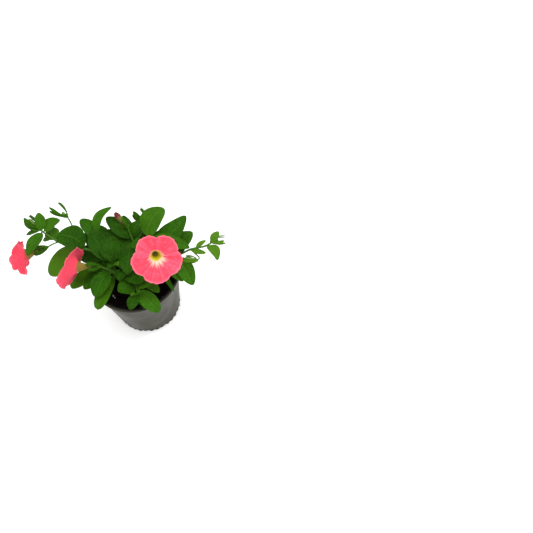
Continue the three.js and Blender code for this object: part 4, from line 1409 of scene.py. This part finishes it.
def cut_notches(piece, pot):
    """Cut the gaps in the foot ring with a turned block."""
    deselect()
    cutters = []
    for k in range(pot.notches):
        angle = (k + 0.5) / pot.notches * 2 * math.pi
        away = pot.foot_radius - 0.5 * pot.foot_width
        place = (away * math.cos(angle), away * math.sin(angle), 0)
        bpy.ops.mesh.primitive_cylinder_add(vertices=24, radius=1, depth=1, location=place)
        cutter = bpy.context.object
        cutter.rotation_euler = (0, math.pi / 2, angle)
        cutter.scale = (pot.notch_height, 0.5 * pot.notch_width, 2 * pot.foot_width + 2 * MM)
        bpy.ops.object.transform_apply(location=True, rotation=True, scale=True)
        cutters.append(cutter)
    cutter = join("notch_cutter", cutters)
    cut = piece.modifiers.new("notches", "BOOLEAN")
    cut.operation = "DIFFERENCE"
    cut.solver = "EXACT"
    cut.object = cutter
    apply_all(piece)
    bpy.data.objects.remove(cutter)


def scallop_foot(piece, pot):
    """Shallow scallops round the lower edge of the outer wall."""
    for vertex in piece.data.vertices:
        x, y, z = vertex.co
        away = math.hypot(x, y)
        if away < pot.foot_radius - 0.5 * MM or z > 0.1 * pot.height:
            continue
        wave = abs(math.sin(0.5 * pot.scallops * math.atan2(y, x)))
        fade = 1 - z / (0.1 * pot.height)
        factor = 1 + pot.scallop_depth * (wave - 0.6) * fade / away
        vertex.co.x, vertex.co.y = x * factor, y * factor


def paint_inside_shade(piece, pot):
    """Give the inner wall, the floor inside and the inner part of the rim the darker copy of the plastic:
    painted shade.
    """
    for face in piece.data.polygons:
        x, y, z = face.center
        away = math.hypot(x, y)
        inward = (face.normal.x * x + face.normal.y * y) / max(away, MM)
        on_rim = face.normal.z > 0.5 and away < 0.5 * (pot.rim_radius + pot.mouth_radius) + 0.2 * MM
        if z > pot.floor_under + 0.5 * MM and (inward < -0.3 or on_rim):
            face.material_index = 1


def build_pot(pot):
    """The nursery pot: foot ring, tapered thin wall and a plain lip."""
    edge = 0.6 * MM
    bevel = 0.3 * MM
    drop = pot.height - pot.lip
    low = pot.floor_under + pot.floor_thick
    wall_low = pot.foot_radius - pot.wall
    steps = [
        (pot.pad_radius, 0.0),
        (pot.pad_radius + bevel, bevel),
        (pot.pad_radius + MM, pot.floor_under),
        (pot.foot_radius - pot.foot_width - MM, pot.floor_under),
        (pot.foot_radius - pot.foot_width - 0.2 * MM, bevel),
        (pot.foot_radius - pot.foot_width, 0.0),
        (pot.foot_radius - bevel, 0.0),
        (pot.foot_radius, bevel),
    ]
    wall_steps = 14
    for k in range(1, wall_steps + 1):
        t = k / wall_steps
        radius = pot.foot_radius + t * (pot.shoulder_radius - pot.foot_radius)
        steps.append((radius, bevel + t * (drop - 1.8 * MM)))
    steps += [
        (pot.rim_radius - edge, drop),
        (pot.rim_radius - 0.2 * edge, drop + 0.2 * edge),
        (pot.rim_radius, drop + edge),
        (pot.rim_radius, pot.height - edge),
        (pot.rim_radius - 0.3 * edge, pot.height - 0.2 * edge),
        (pot.rim_radius - edge, pot.height),
        (0.5 * (pot.rim_radius + pot.mouth_radius), pot.height),
        (pot.mouth_radius + 0.5 * edge, pot.height),
        (pot.mouth_radius, pot.height - 0.5 * edge),
        (wall_low + 0.5 * MM, low + MM),
        (wall_low - 0.4 * MM, low),
        (2 * MM, low),
    ]
    piece = ring_body("nursery_pot", steps, POT_SIDES)
    scallop_foot(piece, pot)
    cut_notches(piece, pot)
    # The second finish is a darker copy of the plastic: painted shade inside the pot.
    wear(piece, pot_material(pot), pot_material(pot, "pot_inside_painted_shade", dark=0.22, specular=0.05))
    paint_inside_shade(piece, pot)
    smooth(piece, POT_CREASE)
    piece = join("nursery_pot", [piece])
    return finish_piece(piece, "pot_plastic", "pot")


def crumb_height(x, y):
    """The broad waves of the growing mix, in millimetres."""
    broad = math.sin(BROAD_WAVE * x + 1.3) * math.cos(BROAD_WAVE * y - 0.6)
    fine = math.sin(FINE_WAVE * (x - 0.8 * y)) * math.cos(FINE_WAVE * (y + 0.7 * x) + 2.1)
    return SOIL_BUMP * (0.6 * broad + 0.4 * fine)


def ball_template(subdivisions):
    """Vertices and faces of a small ball, to be copied."""
    deselect()
    bpy.ops.mesh.primitive_ico_sphere_add(subdivisions=subdivisions, radius=1)
    ball = bpy.context.object
    points = np.array([v.co for v in ball.data.vertices])
    faces = [tuple(p.vertices) for p in ball.data.polygons]
    bpy.data.objects.remove(ball)
    return points, faces


def scatter(template, places, draw):
    """Rough copies of a ball as one mesh. A place is a centre and a radius in millimetres."""
    points, faces = template
    table, found = [], []
    for centre, radius in places:
        rough = 1 + 0.34 * np.array([draw.uniform(-1, 1) for _ in points])[:, None]
        flat = np.array([draw.uniform(0.7, 1.3), draw.uniform(0.7, 1.3), draw.uniform(0.5, 0.9)])
        turn = np.array(Matrix.Rotation(draw.uniform(0, 6.3), 3, "Z"))
        first = sum(len(t) for t in table)
        table.append((points * rough * flat * radius) @ turn.T + np.array(centre))
        found += [tuple(first + i for i in face) for face in faces]
    return loose_piece("grains", np.concatenate(table), found)


def build_soil(soil, pot):
    """The growing mix: a lumpy top with loose crumbs and a few white grains."""
    draw = random.Random(SOIL_SEED)
    low = pot.floor_under + pot.floor_thick + soil.gap
    slope = (pot.mouth_radius - pot.foot_radius + pot.wall) / (pot.height - pot.floor_under - pot.floor_thick)
    foot = pot.foot_radius - pot.wall - soil.gap
    edge = foot + slope * (soil.top - low)
    steps = [(0.5 * foot, low), (foot, low)]
    steps += [(foot + t * (edge - foot), low + t * (soil.top - low - 1.5 * MM)) for t in (0.5, 1.0)]
    steps += [(edge * (1 - k / SOIL_RINGS), soil.top) for k in range(SOIL_RINGS)]
    piece = ring_body("growing_mix", steps, SOIL_SIDES)
    for vertex in piece.data.vertices:
        x, y, z = vertex.co / MM
        if z > soil.top / MM - 0.5:
            rough = noise.fractal(Vector((x, y, 3.0)) * GRIT_FINENESS, 1.0, 2.0, 4)
            vertex.co.z = soil.top + (crumb_height(x, y) + SOIL_GRIT * rough) * MM
    wear(piece, peat_material(soil))
    smooth(piece)
    room = edge / MM - 1.5

    def spot(radius):
        """A place on the growing mix for a loose body, with the body's radius."""
        away, angle = room * math.sqrt(draw.random()), draw.uniform(0, 2 * math.pi)
        x, y = away * math.cos(angle), away * math.sin(angle)
        return (x, y, soil.top / MM + crumb_height(x, y) + 0.35 * radius), radius

    small, larger = ball_template(1), ball_template(2)
    crumbs = scatter(small, [spot(draw.uniform(*CRUMB_RADII)) for _ in range(soil.crumbs)], draw)
    lumps = scatter(larger, [spot(draw.uniform(*LUMP_RADII)) for _ in range(soil.crumbs // 8)], draw)
    grains = [spot(draw.uniform(*GRAIN_RADII)) for _ in range(soil.grains)]
    grains += [((x, y, soil.top / MM + crumb_height(x, y) + 0.6), r) for x, y, r in SEEN_GRAINS]
    white = scatter(larger, grains, draw)
    wear(crumbs, piece.data.materials[0])
    wear(lumps, piece.data.materials[0])
    wear(white, perlite_material(soil))
    piece = join("growing_mix", [piece, crumbs, lumps, white])
    return finish_piece(piece, "growing_mix", "soil")


# ---------------------------------------------------------------- floor, light and camera


def build_stage(stage):
    """A pale floor, soft light from all sides and from above, and the photograph's camera."""
    deselect()
    bpy.ops.mesh.primitive_plane_add(size=FLOOR_SIZE, location=(0, 0, -FLOOR_DROP))
    floor = bpy.context.object
    floor.name = "floor"
    look = Look("pale_floor", roughness=0.9, specular=0.1)
    look.put(look.shader, "Emission Color", WHITE)
    look.put(look.shader, "Emission Strength", FLOOR_GLOW)
    speck = look.cloud(look.place(), 40.0, 2.0)
    wear(floor, look.finish(look.mix(speck, shade(stage.floor, 0.985), stage.floor)))

    world = bpy.data.worlds.new("soft_white")
    world.use_nodes = True
    sky = world.node_tree.nodes["Background"]
    sky.inputs["Color"].default_value = (*WHITE, 1.0)
    sky.inputs["Strength"].default_value = stage.sky
    bpy.context.scene.world = world

    bpy.ops.object.light_add(type="AREA", location=LIGHT_PLACE)
    key = bpy.context.object
    key.name = "soft_main_light"
    key.data.shape = "DISK"
    key.data.size = LIGHT_SIZE
    key.data.energy = stage.key
    key.rotation_euler = (Vector(LIGHT_AIM) - key.location).to_track_quat("-Z", "Y").to_euler()

    bpy.ops.object.camera_add(location=CAMERA_PLACE, rotation=(math.radians(CAMERA_TILT), 0, 0))
    camera = bpy.context.object
    camera.name = "photo_camera"
    camera.data.sensor_width = CAMERA_SENSOR
    camera.data.lens = CAMERA_LENS
    bpy.context.scene.camera = camera
    bpy.context.scene.view_settings.view_transform = "Standard"


# ---------------------------------------------------------------- the add-on


class PETUNIA_OT_pot(bpy.types.Operator):
    """Build the nursery pot"""

    bl_idname = "petunia.pot"
    bl_label = "Nursery pot"

    def execute(self, context):
        build_pot(context.scene.petunia_pot)
        return {"FINISHED"}


class PETUNIA_OT_soil(bpy.types.Operator):
    """Fill the pot with growing mix"""

    bl_idname = "petunia.soil"
    bl_label = "Growing mix"

    def execute(self, context):
        build_soil(context.scene.petunia_soil, context.scene.petunia_pot)
        return {"FINISHED"}


class PETUNIA_OT_foliage(bpy.types.Operator):
    """Grow the leafy shoots with their calyces and green buds"""

    bl_idname = "petunia.foliage"
    bl_label = "Leafy shoots"

    def execute(self, context):
        build_foliage(context.scene.petunia_foliage)
        return {"FINISHED"}


class PETUNIA_OT_flowers(bpy.types.Operator):
    """Open the coral flowers"""

    bl_idname = "petunia.flowers"
    bl_label = "Open flowers"

    def execute(self, context):
        build_flowers(context.scene.petunia_flower)
        return {"FINISHED"}


class PETUNIA_OT_closed_flower(bpy.types.Operator):
    """Add the furled reddish flower"""

    bl_idname = "petunia.closed_flower"
    bl_label = "Closed flower"

    def execute(self, context):
        build_closed_flower()
        return {"FINISHED"}


class PETUNIA_OT_stage(bpy.types.Operator):
    """Set up the floor, the light and the camera"""

    bl_idname = "petunia.stage"
    bl_label = "Stage"

    def execute(self, context):
        build_stage(context.scene.petunia_stage)
        return {"FINISHED"}


class PETUNIA_PT_panel(bpy.types.Panel):
    """The steps and their settings"""

    bl_label = "Potted petunia"
    bl_idname = "PETUNIA_PT_panel"
    bl_space_type = "VIEW_3D"
    bl_region_type = "UI"
    bl_category = "Petunia"

    def draw(self, context):
        for operator, group in STEPS:
            box = self.layout.box()
            box.operator(operator.bl_idname)
            settings = getattr(context.scene, group)
            for name in settings.bl_rna.properties.keys():
                if name not in ("rna_type", "name"):
                    box.prop(settings, name)


GROUPS = {
    "petunia_pot": PetuniaPot,
    "petunia_soil": PetuniaSoil,
    "petunia_foliage": PetuniaFoliage,
    "petunia_flower": PetuniaFlower,
    "petunia_stage": PetuniaStage,
}
STEPS = [
    (PETUNIA_OT_stage, "petunia_stage"),
    (PETUNIA_OT_pot, "petunia_pot"),
    (PETUNIA_OT_soil, "petunia_soil"),
    (PETUNIA_OT_foliage, "petunia_foliage"),
    (PETUNIA_OT_flowers, "petunia_flower"),
    (PETUNIA_OT_closed_flower, "petunia_flower"),
]
CLASSES = [*GROUPS.values(), *[operator for operator, _ in STEPS], PETUNIA_PT_panel]


def register():
    """Add the classes and the scene's settings."""
    for one in CLASSES:
        bpy.utils.register_class(one)
    for name, group in GROUPS.items():
        setattr(bpy.types.Scene, name, bpy.props.PointerProperty(type=group))


def unregister():
    """Take them away again."""
    for name in GROUPS:
        delattr(bpy.types.Scene, name)
    for one in reversed(CLASSES):
        bpy.utils.unregister_class(one)


def main():
    """Build everything in order."""
    register()
    bpy.ops.petunia.stage()
    bpy.ops.petunia.pot()
    bpy.ops.petunia.soil()
    bpy.ops.petunia.foliage()
    bpy.ops.petunia.flowers()
    bpy.ops.petunia.closed_flower()
    deselect()


if __name__ == "__main__":
    main()
